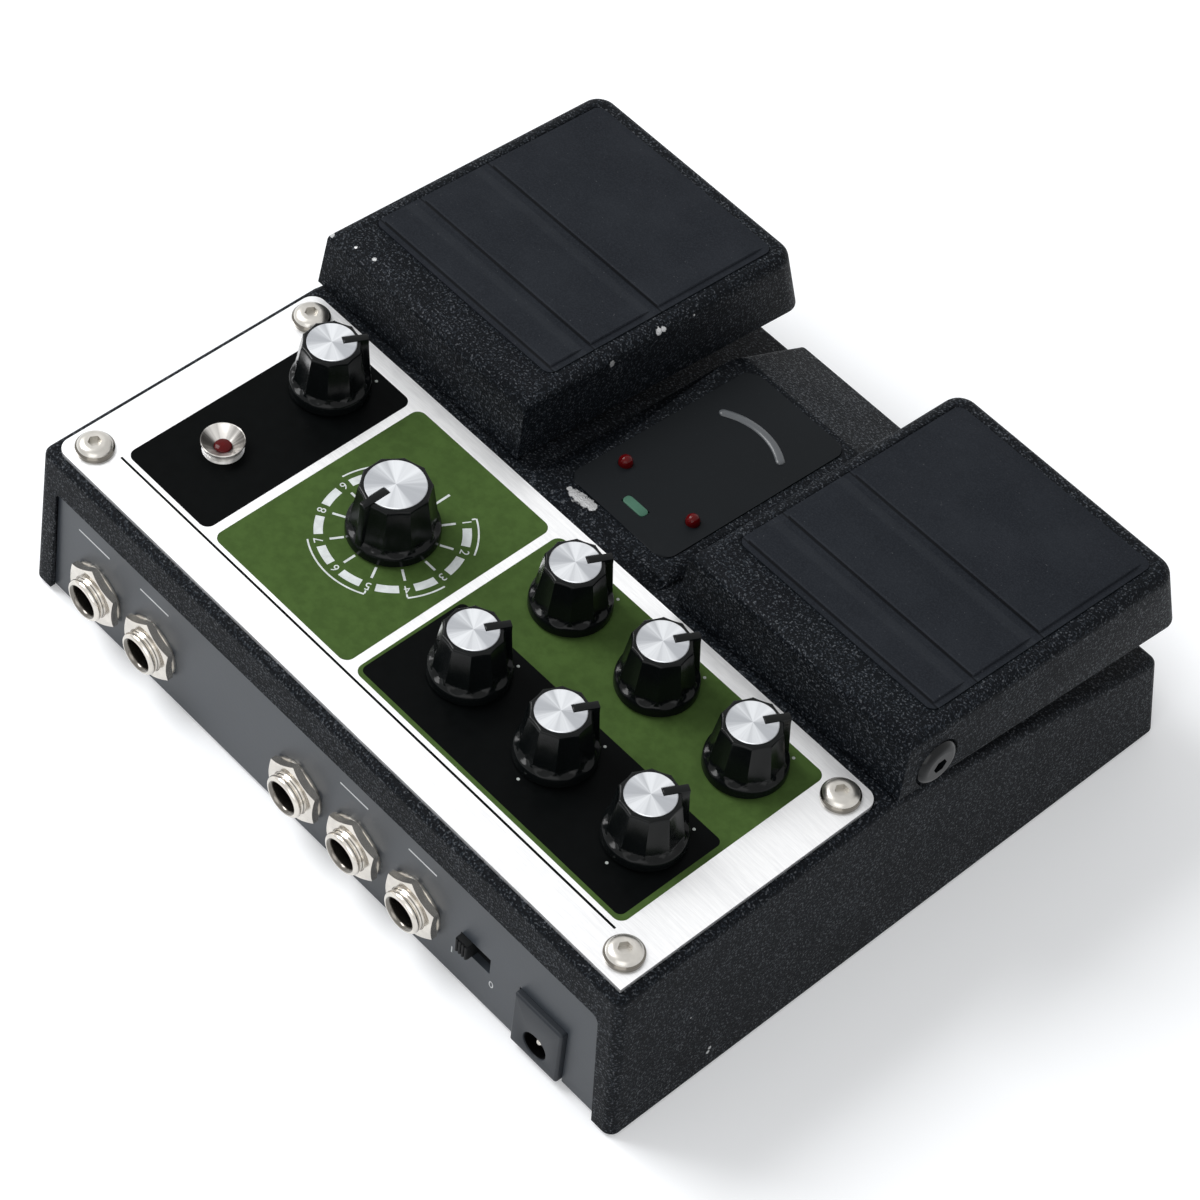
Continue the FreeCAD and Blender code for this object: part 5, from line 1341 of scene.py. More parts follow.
@dataclass
class ControlPlate:
    """Bright plate with its printed fields, marks and screws."""

    top: float = PLATE_TOP
    film: float = 0.03
    corner: float = 2.0
    left_field: Area = (-71.1, 10.0, 3.1, 62.4)
    left_inset: Area = (-69.8, 35.5, 2.4, 61.4)
    inset_corner: float = 1.4
    dial_field: Area = (5.2, 10.0, 44.6, 62.5)
    right_field: Area = (46.7, 10.0, 71.2, 62.4)
    rule_y: float = 63.7
    rule_width: float = 0.5
    screw_spots: tuple[Spot, ...] = ((-76.2, 11.3), (76.2, 11.3), (-76.2, 66.2), (76.2, 66.2))
    centred_levels: tuple[str, ...] = ("bass", "treble")
    level_hole: float = 6.6
    dial_hole: float = 8.0
    lamp_hole: float = 4.2
    dot_radius: float = 0.32
    dot_reach: float = 9.4
    dot_angles: Spot = (-120.0, -60.0)
    middle_angle: float = 90.0
    dial_count: int = 11
    dial_first: int = -60
    dial_step: int = 30
    tick_inner: float = 9.6
    tick_outer: float = 12.4
    tick_width: float = 0.5
    end_tick_extra: float = 2.2
    end_tick_angle: int = -90
    figure_reach: float = 14.5
    figure_height: float = 1.9
    block_inner: float = 13.5
    block_outer: float = 15.3
    block_span: float = 18.0
    arc_reach: float = 16.8
    arc_width: float = 0.35
    hook: float = 1.1
    dial_arcs: tuple[Spot, ...] = ((58.0, 120.0), (149.0, 176.0), (210.0, 242.0), (-60.0, -4.5))
    hook_angles: tuple[float, ...] = (120.0, 149.0, 242.0)
    head_radius: float = 3.95
    head_height: float = 2.08
    socket_reach: float = 1.5
    socket_depth: float = 1.2
    socket_sides: int = 6
    shade_height: float = 1.0

    def build(self) -> None:
        """Makes the prints and screws and finishes the plate."""
        dress_node("control_plate", BrushedPlate().make("brushed_aluminium"))
        self.green = PrintInk((0.055, 0.098, 0.026), level=0.03).make("green_ink")
        self.black = PrintInk((0.0022, 0.0027, 0.0028), 0.3, 0.03).make("black_ink")
        self.white = PrintInk((0.64, 0.68, 0.68), 0.45).make("white_ink")
        self.worn = PrintInk((0.40, 0.43, 0.41), 0.45).make("worn_white_ink")
        self._fields()
        self._marks()
        self._dial()
        self._screws()

    def _print(self, name: str, shape: Shape, finish: bpy.types.Material) -> None:
        """Adds one print in the plate's slot."""
        add_piece(name, shape.mesh(name, 20.0), "unit", finish)

    def _layer(self, level: int) -> tuple[float, float]:
        """Underside and top of a printed layer, counted from the plate."""
        return self.top - self.film / 2, self.top + self.film * level

    def _holes(self, area: Area) -> list[Outline]:
        """Clear holes for the necks that pass through a field.

        Args:
            area: Lowest X and Y and highest X and Y of the field.

        Returns:
            The outlines of the holes.
        """
        left, low, right, high = area
        wanted = [(x, y, self.level_hole) for x, y in LEVELS.values()]
        wanted.append((*SELECTOR, self.dial_hole))
        wanted.append((*PEAK_LAMP, self.lamp_hole))
        return [circle(x, y, r) for x, y, r in wanted if left < x < right and low < y < high]

    def _fields(self) -> None:
        """The coloured fields and the rule behind them."""
        layers = (("green_level_field", self.left_field, self.green, 1, self.corner),
                  ("black_level_field", self.left_inset, self.black, 2,
                   self.inset_corner),
                  ("green_dial_field", self.dial_field, self.green, 1, self.corner),
                  ("black_input_field", self.right_field, self.black, 1, self.corner))
        for name, area, ink, level, corner in layers:
            outlines = [rounded_box(*area, corner)] + self._holes(area)
            self._print(name, prism(outlines, *self._layer(level)), ink)
        rule = rounded_box(self.left_field[0], self.rule_y - self.rule_width / 2,
                           self.right_field[2], self.rule_y + self.rule_width / 2, 0.1)
        self._print("ruled_line", prism([rule], *self._layer(1)), self.black)

    def _marks(self) -> None:
        """White dots at the ends of each level knob's travel, and at some middles."""
        marks = Shape()
        low, high = self._layer(3)
        dot = prism([circle(0, 0, self.dot_radius, 20)], low, high)
        for name, (x, y) in LEVELS.items():
            angles = [*self.dot_angles]
            if name in self.centred_levels:
                angles.append(self.middle_angle)
            for angle in angles:
                away = math.radians(angle)
                marks.join(dot, Matrix.Translation((x + self.dot_reach * math.cos(away),
                                                    y + self.dot_reach * math.sin(away), 0)))
        self._print("level_dots", marks, self.worn)

    def _dial(self) -> None:
        """Ticks, numbers, pale blocks and arcs round the selector."""
        ticks = tick_recipe()
        low, high = self._layer(2)
        sizes = {"Inner": self.tick_inner, "Outer": self.tick_outer, "Width": self.tick_width,
                 "Thickness": high - low, "Count": self.dial_count,
                 "First": self.dial_first, "Step": self.dial_step}
        spot = (*SELECTOR, (low + high) / 2)
        mesh = ticks.grow("dial_ticks", [spot], sizes, self.white)
        add_piece("dial_ticks", mesh, "unit")
        longer = dict(sizes, Outer=self.tick_outer + self.end_tick_extra, Count=1,
                      First=self.end_tick_angle)
        mesh = ticks.grow("dial_end_tick", [spot], longer, self.white)
        add_piece("dial_end_tick", mesh, "unit")
        marks = Shape()
        last = self.dial_first + self.dial_step * (self.dial_count - 1)
        for number in range(self.dial_count):
            angle = last - self.dial_step * number
            figure = lettering(str(number + 1), self.figure_height, high - low)
            place = Matrix.Rotation(math.radians(angle - 90.0), 4, "Z") \
                @ Matrix.Translation((0.0, self.figure_reach, (low + high) / 2))
            marks.join(figure, place)
            if number < self.dial_count - 1:
                middle = angle - self.dial_step / 2
                block = sector(self.block_inner, self.block_outer,
                               middle - self.block_span / 2, middle + self.block_span / 2)
                marks.join(prism([block], low, high))
        inner = self.arc_reach - self.arc_width
        half = math.degrees(self.arc_width / 2 / self.arc_reach)
        for start, end in self.dial_arcs:
            marks.join(prism([sector(inner, self.arc_reach, start, end, 40)], low, high))
        for angle in self.hook_angles:
            bar = sector(self.arc_reach - self.hook, inner, angle - half, angle + half, 2)
            marks.join(prism([bar], low, high))
        whole = Shape().join(marks, Matrix.Translation((*SELECTOR, 0.0)))
        self._print("dial_marks", whole, self.white)

    def _screws(self) -> None:
        """Four domed screws with hex sockets."""
        # The heads' finish paints a dark reflection round each rim and shade in each socket.
        shaded = tuple((x, y, self.top + self.shade_height) for x, y in self.screw_spots)
        finish = Plating((0.57, 0.53, 0.465), 0.12, domes=shaded, dome_radius=self.head_radius)
        sizes = {"Head Radius": self.head_radius, "Head Height": self.head_height,
                 "Socket Reach": self.socket_reach, "Socket Depth": self.socket_depth,
                 "Socket Sides": self.socket_sides}
        mesh = screw_recipe().grow(
            "plate_screw_heads", [(x, y, self.top) for x, y in self.screw_spots], sizes,
            finish.make("screw_nickel"))
        add_piece("plate_screw_heads", mesh, "unit")


@dataclass
class KnobForm:
    """Sizes of one knob."""

    height: float
    base: float
    waist: float
    top: float
    well: float
    skirt: float = 1.1
    flare: float = 1.5
    well_depth: float = 3.4
    bore: float = 3.04
    bore_depth: float = 12.0
    sink: float = 0.4
    rim: float = 1.2
    gap: float = 0.05
    flutes: int = 10
    flute_depth: float = 0.8
    flute_top: float = 0.42
    fin_half: float = 0.85
    fin_inner: float = 2.25
    fin_overhang: float = 1.18
    disc: float = 0.7
    disc_ease: float = 0.14
    crown_ease: float = 0.45
    wall_steps: int = 36
    wall_bias: float = 1.3


@dataclass
class Controls:
    """Eight gloss knobs, each with a pointer fin and a spun disc."""

    foot: float = 43.2
    segments: int = 200
    small: KnobForm = field(default_factory=lambda: KnobForm(12.6, 8.3, 7.6, 6.2, 6.37))
    large: KnobForm = field(default_factory=lambda: KnobForm(13.5, 9.4, 8.75, 7.3, 7.6))
    level_rest: float = -117.0
    selector_rest: float = 90.0

    def build(self) -> None:
        """Makes every knob and disc."""
        gloss = GlossPlastic().make("gloss_black")
        shapes = {id(form): (self._body(form), self._disc(form))
                  for form in (self.small, self.large)}
        controls = [(name, spot, self.small, self.level_rest)
                    for name, spot in LEVELS.items()]
        controls.append(("selector", SELECTOR, self.large, self.selector_rest))
        for name, (x, y), form, rest in controls:
            place = at(x, y, self.foot, turn=rest)
            body, disc = shapes[id(form)]
            rider = f"{name}_control"
            add_piece(f"{name}_knob_body", Shape().join(body, place).mesh(name, 34.0), rider,
                      gloss, [f"{name}_knob"])
            centre = (x, y, self.foot + form.height)
            # Each disc's finish paints a fan of highlights and dark reflections.
            spun = SpunMetal(centre).make(f"spun_disc_{name}")
            add_piece(f"{name}_knob_disc", Shape().join(disc, place).mesh(name, 25.0), rider,
                      spun, [f"{name}_cap"])

    def _body(self, form: KnobForm) -> Shape:
        """Fluted body with its skirt, hollow, bore and fin.

        Args:
            form: The knob's sizes.

        Returns:
            The knob about its own axis.
        """
        seat = form.top - form.rim + form.gap
        start = form.skirt + form.flare
        lower = [(0.0, form.bore_depth), (form.bore, form.bore_depth),
                 (form.bore, form.well_depth), (form.well, form.well_depth),
                 (form.well, 0.0), (form.base - 0.2, 0.0), (form.base, 0.2),
                 (form.base, form.skirt)]
        sweep = []
        span = form.base - form.waist - 0.3
        for step in range(1, 7):
            turn = math.radians(12.0 * step)
            sweep.append((form.base - span * (1 - math.cos(turn)),
                          form.skirt + (form.flare - 0.1) * math.sin(turn)))
        sweep += [(form.waist + 0.28, start - 0.02), (form.waist + 0.07, start + 0.2)]
        ease = form.crown_ease
        foot = start + 0.5
        wall = [(form.waist + (form.top - form.waist) * share,
                 foot + (form.height - ease - foot) * share)
                for share in ((i / form.wall_steps) ** form.wall_bias
                              for i in range(form.wall_steps + 1))]
        crown = [(form.top - ease * (1 - math.cos(math.radians(a))) - 0.02,
                  form.height - ease * (1 - math.sin(math.radians(a)))) for a in (30, 60, 90)]
        rest = [(seat, form.height), (seat, form.height - form.sink),
                (0.0, form.height - form.sink)]
        profile = lower + sweep + wall + crown + rest
        first = len(lower) + 2
        last = len(lower) + len(sweep) + form.wall_steps + len(crown)

        def reach(index: int, radius: float, angle: float) -> float:
            """Radius of the fluted wall.

            Args:
                index: Number of the profile's point.
                radius: Radius of that point without flutes.
                angle: Angle round the knob.

            Returns:
                The radius with the flutes cut in.
            """
            if not first <= index <= last:
                return radius
            across = (angle * form.flutes / math.tau) % 1.0 * 2.0 - 1.0
            height = profile[index][1]
            begin = start - 0.35 + 1.2 * across * across
            deep = min(max((height - begin) / 0.7, 0.0), 1.0)
            deep = deep * deep * (3.0 - 2.0 * deep)
            share = min(max((height - start) / (form.height - start), 0.0), 1.0)
            full = form.flute_depth + (form.flute_top - form.flute_depth) * share
            return radius - full * deep * math.cos(across * math.pi / 2) ** 0.8

        knob = turned(profile, self.segments, reach)
        high = form.height + form.disc - form.sink
        fin = [(form.fin_inner, form.height - form.sink), (form.top - 2.0, start + 0.4),
               (form.base - 0.1, form.skirt), (form.base - 0.25, form.skirt + 1.6),
               (form.top + form.fin_overhang, form.height - 1.4),
               (form.top + form.fin_overhang, high), (form.fin_inner, high)]
        blade = bevelled(fin, -form.fin_half, form.fin_half, 0.22)
        return knob.join(blade, Matrix.Rotation(math.radians(90.0), 4, "X"))

    def _disc(self, form: KnobForm) -> Shape:
        """Metal disc with the notch that takes the fin.

        Args:
            form: The knob's sizes.

        Returns:
            The disc about its own axis.
        """
        radius = form.top - form.rim
        low = form.height - form.sink
        high = low + form.disc
        half = form.fin_half + form.gap
        inner = form.fin_inner - form.gap
        eased = form.disc_ease

        def outline(reach: float, margin: float) -> Outline:
            """Outline of the disc with its notch.

            Args:
                reach: Radius of the disc.
                margin: How much wider the notch is here.

            Returns:
                The outline, counter-clockwise.
            """
            edge = math.degrees(math.asin((half + margin) / reach))
            points = arc(0, 0, reach, edge, 360.0 - edge, 96)
            return points + [(inner - margin, -half - margin), (inner - margin, half + margin)]

        shape = Shape()
        levels = ((radius, 0.0, low), (radius, 0.0, high - eased),
                  (radius - eased, eased * 0.6, high))
        rings = [[(x, y, z) for x, y in outline(reach, margin)] for reach, margin, z in levels]
        count = len(rings[0])
        for ring in rings:
            shape.corners.extend(Vector(point) for point in ring)
        for level in range(2):
            for i in range(count):
                j = (i + 1) % count
                shape.faces.append((level * count + i, level * count + j,
                                    (level + 1) * count + j, (level + 1) * count + i))
        shape.faces.append(tuple(range(2 * count, 3 * count)))
        shape.faces.append(tuple(reversed(range(count))))
        return shape


@dataclass
class Display:
    """Sloping display plate with its lamps, and the peak lamp on the control plate."""

    front: float = -53.2
    rear: float = -2.1
    lamp_radius: float = 1.5
    lamp_x: float = 9.7
    lamp_y: float = -13.9
    lamp_rise: float = 1.9
    lamp_depth: float = 4.0
    core_rise: float = 0.6
    peak_rise: float = 1.35
    peak_radius: float = 1.8
    peak_seat: float = 0.72
    pill_corner: float = 0.95
    pill_edge: float = 0.2
    pill_extra: float = 0.2
    rib_centre: Spot = (0.0, -28.0)
    rib_reach: float = 14.3
    rib_angles: Spot = (-125.0, -55.0)
    rib_width: float = 2.0
    rib_height: float = 0.5
    rib_sink: float = 0.05
    rib_end: float = 0.04
    funnel: tuple[Spot, ...] = (
        (1.62, 0.0), (3.6, 0.0), (3.63, 0.12), (4.38, 2.1), (4.47, 2.3), (4.5, 2.42),
        (4.46, 2.54), (4.36, 2.6), (4.25, 2.58), (4.14, 2.48), (3.98, 2.3), (1.86, 0.68),
        (1.7, 0.6), (1.62, 0.5))
    stem: tuple[Spot, ...] = ((1.62, -5.9), (2.85, -5.9), (2.85, -0.01), (1.62, -0.01))

    def build(self) -> None:
        """Makes the plate, its rib and the lamps."""
        smooth_copy("display_plate", "display_cover", "unit",
                    SatinPaint((0.0050, 0.0066, 0.0082), 0.42, 0.10).make("display_satin"))
        self._rib()
        self._lamps()
        self._bezel()

    def surface(self, y: float) -> float:
        """Height of the display plate's top.

        Args:
            y: Place along Y in millimetres.

        Returns:
            The height in millimetres.
        """
        low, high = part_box("display_plate")
        fall = (high.z - low.z) / MM - 1.0
        return high.z / MM - fall * (self.rear - y) / (self.rear - self.front)

    def _rib(self) -> None:
        """Shallow clear rib in an arc on the plate, with round ends."""
        x0, y0 = self.rib_centre
        half = self.rib_width / 2
        shape = Shape()
        steps, across, round_steps = 36, 8, 6
        begin, end = self.rib_angles
        stations = []
        for i in range(round_steps):
            swing = math.radians(90.0 * i / round_steps)
            stations.append((begin, -half * math.cos(swing),
                             max(math.sin(swing), self.rib_end)))
        stations += [(begin + (end - begin) * i / steps, 0.0, 1.0) for i in range(steps + 1)]
        for i in range(round_steps - 1, -1, -1):
            swing = math.radians(90.0 * i / round_steps)
            stations.append((end, half * math.cos(swing),
                             max(math.sin(swing), self.rib_end)))
        for degrees, beyond, share in stations:
            angle = math.radians(degrees)
            for j in range(across + 1):
                side = math.radians(180.0 * j / across)
                away = self.rib_reach + math.cos(side) * half * share
                x = x0 + away * math.cos(angle) - beyond * math.sin(angle)
                y = y0 + away * math.sin(angle) + beyond * math.cos(angle)
                z = self.surface(y) - self.rib_sink + math.sin(side) * self.rib_height * share
                shape.corners.append(Vector((x, y, z)))
        row = across + 1
        for i in range(len(stations) - 1):
            for j in range(row):
                a, b = i * row + j, i * row + (j + 1) % row
                shape.faces.append((a, b, b + row, a + row))
        shape.faces.append(tuple(range(row - 1, -1, -1)))
        last = (len(stations) - 1) * row
        shape.faces.append(tuple(range(last, last + row)))
        clear = SatinPaint((0.085, 0.092, 0.100), 0.25, 0.4).make("clear_rib")
        add_piece("display_rib", shape.mesh("display_rib", 50.0), "unit", clear)

    def _lens(self, radius: float, rise: float, depth: float) -> Shape:
        """Lamp lens that stands up from the origin, closed below.

        Args:
            radius: Radius of its dome.
            rise: Height of its top.
            depth: Depth of its foot.

        Returns:
            The closed shape.
        """
        dome = [(radius * math.cos(math.radians(a)), rise - radius
                 + radius * math.sin(math.radians(a))) for a in range(0, 90, 9)]
        return turned([(0.0, -depth), (radius, -depth), *dome, (0.0, rise)], 40)

    def _lamps(self) -> None:
        """Two round lamps beside the display, the peak lamp and the power lamp."""
        ground = self.surface(self.lamp_y)
        small = self._lens(self.lamp_radius, self.lamp_rise, self.lamp_depth)
        lamps = small.repeated([at(self.lamp_x, self.lamp_y, ground),
                                at(-self.lamp_x, self.lamp_y, ground)])
        reach, seat = self.peak_radius, self.peak_seat
        dome = [(reach * math.cos(math.radians(a)),
                 seat + (self.peak_rise - seat) * math.sin(math.radians(a)))
                for a in range(0, 90, 9)]
        flat = turned([(0.0, -2.0), (self.lamp_radius, -2.0), (self.lamp_radius, seat), *dome,
                       (0.0, self.peak_rise)], 40)
        lamps.join(flat, at(*PEAK_LAMP, PLATE_TOP))
        # The red lenses are painted lighter towards their middles as a highlight.
        red = LensPlastic((0.07, 0.0018, 0.0025), (0.33, 0.007, 0.007),
                          ((self.lamp_x, self.lamp_y, ground + self.core_rise),
                           (-self.lamp_x, self.lamp_y, ground + self.core_rise),
                           (*PEAK_LAMP, PLATE_TOP)), self.lamp_radius,
                          level=0.14).make("red_lens_plastic")
        add_piece("red_lamps", lamps.mesh("red_lamps"), "unit", red,
                  ["indicator_lamps"])
        low, high = (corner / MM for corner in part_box("power_lamp"))
        extra = self.pill_extra
        pill = bevelled(rounded_box(low.x - extra, low.y, high.x + extra, high.y,
                                    self.pill_corner), low.z, high.z, self.pill_edge)
        # The power lamp's lens is painted lighter towards its middle as a highlight.
        green = LensPlastic((0.034, 0.090, 0.062), (0.058, 0.145, 0.100),
                            (tuple((low + high) / 2),), 5.0, 0.3, 0.15)
        add_piece("power_pill", pill.mesh("power_pill"), "unit",
                  green.make("green_lens_plastic"), ["power_lamp"])

    def _bezel(self) -> None:
        """Turned funnel that holds the peak lamp."""
        # The funnel's finish paints a fan of highlights and dark reflections round the lamp.
        nickel = SpunMetal((*PEAK_LAMP, PLATE_TOP), (0.70, 0.68, 0.65), (0.085, 0.080, 0.075),
                           (-0.75, 0.65)).make("bezel_nickel")
        shape = turned(self.funnel, 72, loop=True)
        stem = turned(self.stem, 48, loop=True)
        whole = shape.join(stem).repeated([at(*PEAK_LAMP, PLATE_TOP)])
        add_piece("peak_lamp_holder", whole.mesh("peak_lamp_holder"), "unit",
                  nickel, ["peak_bezel"])


@dataclass
class RearPanel:
    """Socket panel with its jacks, adaptor socket, slide switch and marks."""

    jack_x: tuple[float, ...] = (66.7, 49.5, 5.0, -12.3, -29.6)
    jack_z: float = 12.8
    inner: float = 71.6
    face: float = 73.1
    mouth: float = 77.6
    bore: float = 3.3
    neck: float = 4.75
    washer: float = 6.9
    washer_thickness: float = 0.5
    nut_flats: float = 13.0
    nut_height: float = 1.8
    film: float = 0.03
    line_width: float = 0.4
    thread_pitch: float = 0.62
    thread_depth: float = 0.3
    washer_wave: float = 0.09
    washer_waves: int = 28
    washer_turn: float = 7.0
    lines: tuple[Triple, ...] = (
        (-34.3, -26.3, 26.6), (-14.7, -6.6, 26.6), (44.9, 53.6, 26.3), (63.2, 72.8, 26.3))
    figures: tuple[tuple[str, float, float], ...] = (("1", -39.9, 8.6), ("0", -51.0, 9.5))
    figure_height: float = 2.0
    adaptor_edge: float = 0.6
    adaptor_hole: Triple = (-65.0, 6.7, 3.1)
    adaptor_depth: float = 9.5
    adaptor_step: float = 1.2
    side_steps: int = 14
    pin_radius: float = 0.85
    pin_sunk: float = 0.9
    sleeve: float = 0.2
    rib_radius: float = 0.35
    rib_count: int = 4

    def build(self) -> None:
        """Dresses the panel and what stands on it."""
        dress_node("jack_panel",
                   SatinPaint((0.037, 0.0435, 0.0525), 0.33, 0.28).make("slate_panel"))
        self._marks()
        self._jacks()
        self._adaptor()
        self._slider()

    def _marks(self) -> None:
        """Pale lines over the sockets and the switch's two figures."""
        ink = PrintInk((0.62, 0.64, 0.65), 0.45).make("pale_panel_ink")
        marks = Shape()
        for left, right, height in self.lines:
            half = self.line_width / 2
            line = rounded_box(-right, height - half, -left, height + half, 0.12)
            marks.join(prism([line], 0.0, self.film))
        for text, x, height in self.figures:
            marks.join(lettering(text, self.figure_height, self.film),
                       Matrix.Translation((-x, height, self.film / 2)))
        facing = Matrix(((-1, 0, 0, 0), (0, 0, 1, self.face), (0, 1, 0, 0), (0, 0, 0, 1)))
        whole = Shape().join(marks, facing)
        add_piece("panel_marks", whole.mesh("panel_marks", 20.0), "unit", ink)

    def _jacks(self) -> None:
        """Threaded necks, washers and nuts of the five sockets."""
        length = self.mouth - self.inner
        threads: Outline = []
        pitch, root = self.thread_pitch, self.neck - self.thread_depth
        height = self.thread_depth
        while height + pitch < length - 1.5:
            threads += [(root, height), (self.neck, height + pitch * 0.5)]
            height += pitch
        lip = length - 1.15
        profile = [(self.bore, 0.0), (root, 0.0), *threads,
                   (root, lip - 0.25), (self.neck - 0.05, lip),
                   (self.neck, lip + 0.25), (self.neck - 0.05, lip + 0.6),
                   (self.neck - 0.25, length - 0.22), (self.neck - 0.55, length - 0.04),
                   (self.neck - 0.8, length), (self.bore + 0.3, length - 0.25),
                   (self.bore + 0.06, length - 0.6), (self.bore, length - 1.0)]
        nickel = Plating((0.70, 0.665, 0.61), 0.14).make("socket_nickel")
        # The necks' finish paints shade in the thread roots and inside the bores.
        cut = Plating((0.70, 0.665, 0.61), 0.14, pitch=pitch,
                      thread=(self.inner + self.thread_depth, self.face, self.mouth - 1.2),
                      bores=tuple((x, self.jack_z) for x in self.jack_x)).make("thread_nickel")
        spots = [at(x, self.inner, self.jack_z, Way.BACK) for x in self.jack_x]
        necks = turned(profile, 56, loop=True).repeated(spots)
        add_piece("socket_necks", necks.mesh("socket_necks", 28.0), "unit", cut,
                  ["jack_necks"])

        def wavy(index: int, radius: float, angle: float) -> float:
            """Radius of a washer whose rim is slightly scalloped.

            Args:
                index: Number of the profile's point.
                radius: Radius of that point.
                angle: Angle round the washer.

            Returns:
                The radius, less the scallop on the rim's points.
            """
            scallop = self.washer_wave * (1 - math.cos(self.washer_waves * angle)) / 2
            return radius - scallop if index in (1, 2, 3) else radius

        hole = self.neck + 0.05
        ring = [(hole, 0.0), (self.washer - 0.05, 0.0), (self.washer, 0.15),
                (self.washer - 0.06, self.washer_thickness), (hole, self.washer_thickness)]
        seats = [at(x, self.face, self.jack_z, Way.BACK, self.washer_turn * n)
                 for n, x in enumerate(self.jack_x)]
        washers = turned(ring, 168, wavy, loop=True).repeated(seats)
        dull = Plating((0.60, 0.575, 0.53), 0.28).make("washer_nickel")
        add_piece("socket_washers", washers.mesh("socket_washers"), "unit", dull,
                  ["jack_washers"])
        stand = self.face + self.washer_thickness
        mesh = nut_recipe().grow(
            "socket_nuts", [(x, stand, self.jack_z) for x in self.jack_x],
            {"Half Flats": self.nut_flats / 2, "Height": self.nut_height, "Bore": hole},
            nickel, (Way.BACK.value, 0.0, 0.0), 24.0)
        add_piece("socket_nuts", mesh, "unit", nodes=["jack_nuts"])

    def _adaptor(self) -> None:
        """Adaptor socket with its round hole and the bright pin in it."""
        low, high = (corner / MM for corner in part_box("dc_socket"))
        edge, step = self.adaptor_edge, self.adaptor_step
        x, z, radius = self.adaptor_hole

        def ring(inset: float, y: float) -> list[Vector]:
            """Outline of the flange with points along its sides.

            Args:
                inset: How far it is drawn in.
                y: Its place along Y.

            Returns:
                The points of the outline.
            """
            corner = max(edge - inset, 0.05)
            flat = rounded_box(-high.x + inset, low.z + inset, -low.x - inset, high.z - inset,
                               corner)
            points = [Vector((-u, y, v)) for u, v in flat]
            each = len(points) // 4
            spread: list[Vector] = []
            for n, point in enumerate(points):
                spread.append(point)
                if n % each == each - 1:
                    after = points[(n + 1) % len(points)]
                    spread += [point.lerp(after, i / self.side_steps)
                               for i in range(1, self.side_steps)]
            return spread

        def bore(reach: float, y: float) -> list[Vector]:
            """Circle round the hole, each point towards one of the outline's."""
            middle = Vector((x, y, z))
            return [middle + (point - middle).normalized() * reach for point in ring(0.0, y)]

        rings = [ring(step, low.y), ring(step, self.inner - 0.2), ring(0.0, self.inner)]
        for part in range(7):
            swing = math.radians(15.0 * part)
            rings.append(ring(edge * (1 - math.cos(swing)), high.y - edge * (1 - math.sin(swing))))
        rings += [bore(radius + 0.25, high.y), bore(radius + 0.07, high.y - 0.07),
                  bore(radius, high.y - 0.25), bore(radius, high.y - self.adaptor_depth)]
        plastic = SatinPaint((0.0225, 0.0265, 0.0325), 0.42, 0.2).make("adaptor_plastic")
        add_piece("adaptor_socket", lofted(rings).mesh("adaptor_socket", 28.0), "unit",
                  plastic, ["dc_socket"])
        # A near-black, barely glossy sleeve inside the hole stands in for the hole's shade.
        hole = [(radius - self.sleeve, -self.adaptor_depth + 0.1), (radius - 0.02, -8.5),
                (radius - 0.02, -0.4), (radius - 0.1, -0.3), (radius - self.sleeve, -0.4)]
        hole_shade_sleeve = turned(hole, 48, loop=True).repeated([at(x, high.y, z, Way.BACK)])
        add_piece("adaptor_hole_shade", hole_shade_sleeve.mesh("adaptor_hole_shade"), "unit",
                  MouldedPlastic((0.0015, 0.0016, 0.0018), level=0.03).make("hole_shade_plastic"))
        long = self.adaptor_depth - self.pin_sunk
        tip = [(self.pin_radius * math.cos(math.radians(a)),
                long - self.pin_radius * (1 - math.sin(math.radians(a))))
               for a in range(0, 90, 15)]
        pin = turned([(0.0, 0.0), (self.pin_radius, 0.0), *tip, (0.0, long)], 32)
        pin = pin.repeated([at(x, high.y - self.adaptor_depth, z, Way.BACK)])
        bright = Plating((0.66, 0.63, 0.58), 0.15).make("pin_nickel")
        add_piece("adaptor_pin", pin.mesh("adaptor_pin"), "unit", bright)

    def _slider(self) -> None:
        """Ribbed block of the slide switch."""
        low, high = (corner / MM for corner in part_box("lock_switch_slider"))
        base = self.rib_radius
        block = bevelled(rounded_box(low.x, low.z, high.x, high.z, 0.3),
                         -high.y + base, -low.y, 0.12)
        facing = Matrix(((1, 0, 0, 0), (0, 0, -1, 0), (0, 1, 0, 0), (0, 0, 0, 1)))
        plastic = MouldedPlastic((0.0035, 0.004, 0.0045), level=0.12).make("slider_plastic")
        add_piece("switch_block", Shape().join(block, facing).mesh("switch_block"),
                  "lock_slider", plastic, ["lock_switch_slider"])
        wide = high.x - low.x
        points = [(low.x + wide * (i + 0.5) / self.rib_count, high.y - base,
                   (low.z + high.z) / 2) for i in range(self.rib_count)]
        mesh = rib_recipe().grow("switch_ribs", points,
                                 {"Length": high.z - low.z - 0.5, "Radius": base}, plastic,
                                 (0.0, 90.0, 0.0))
        add_piece("switch_ribs", mesh, "lock_slider")


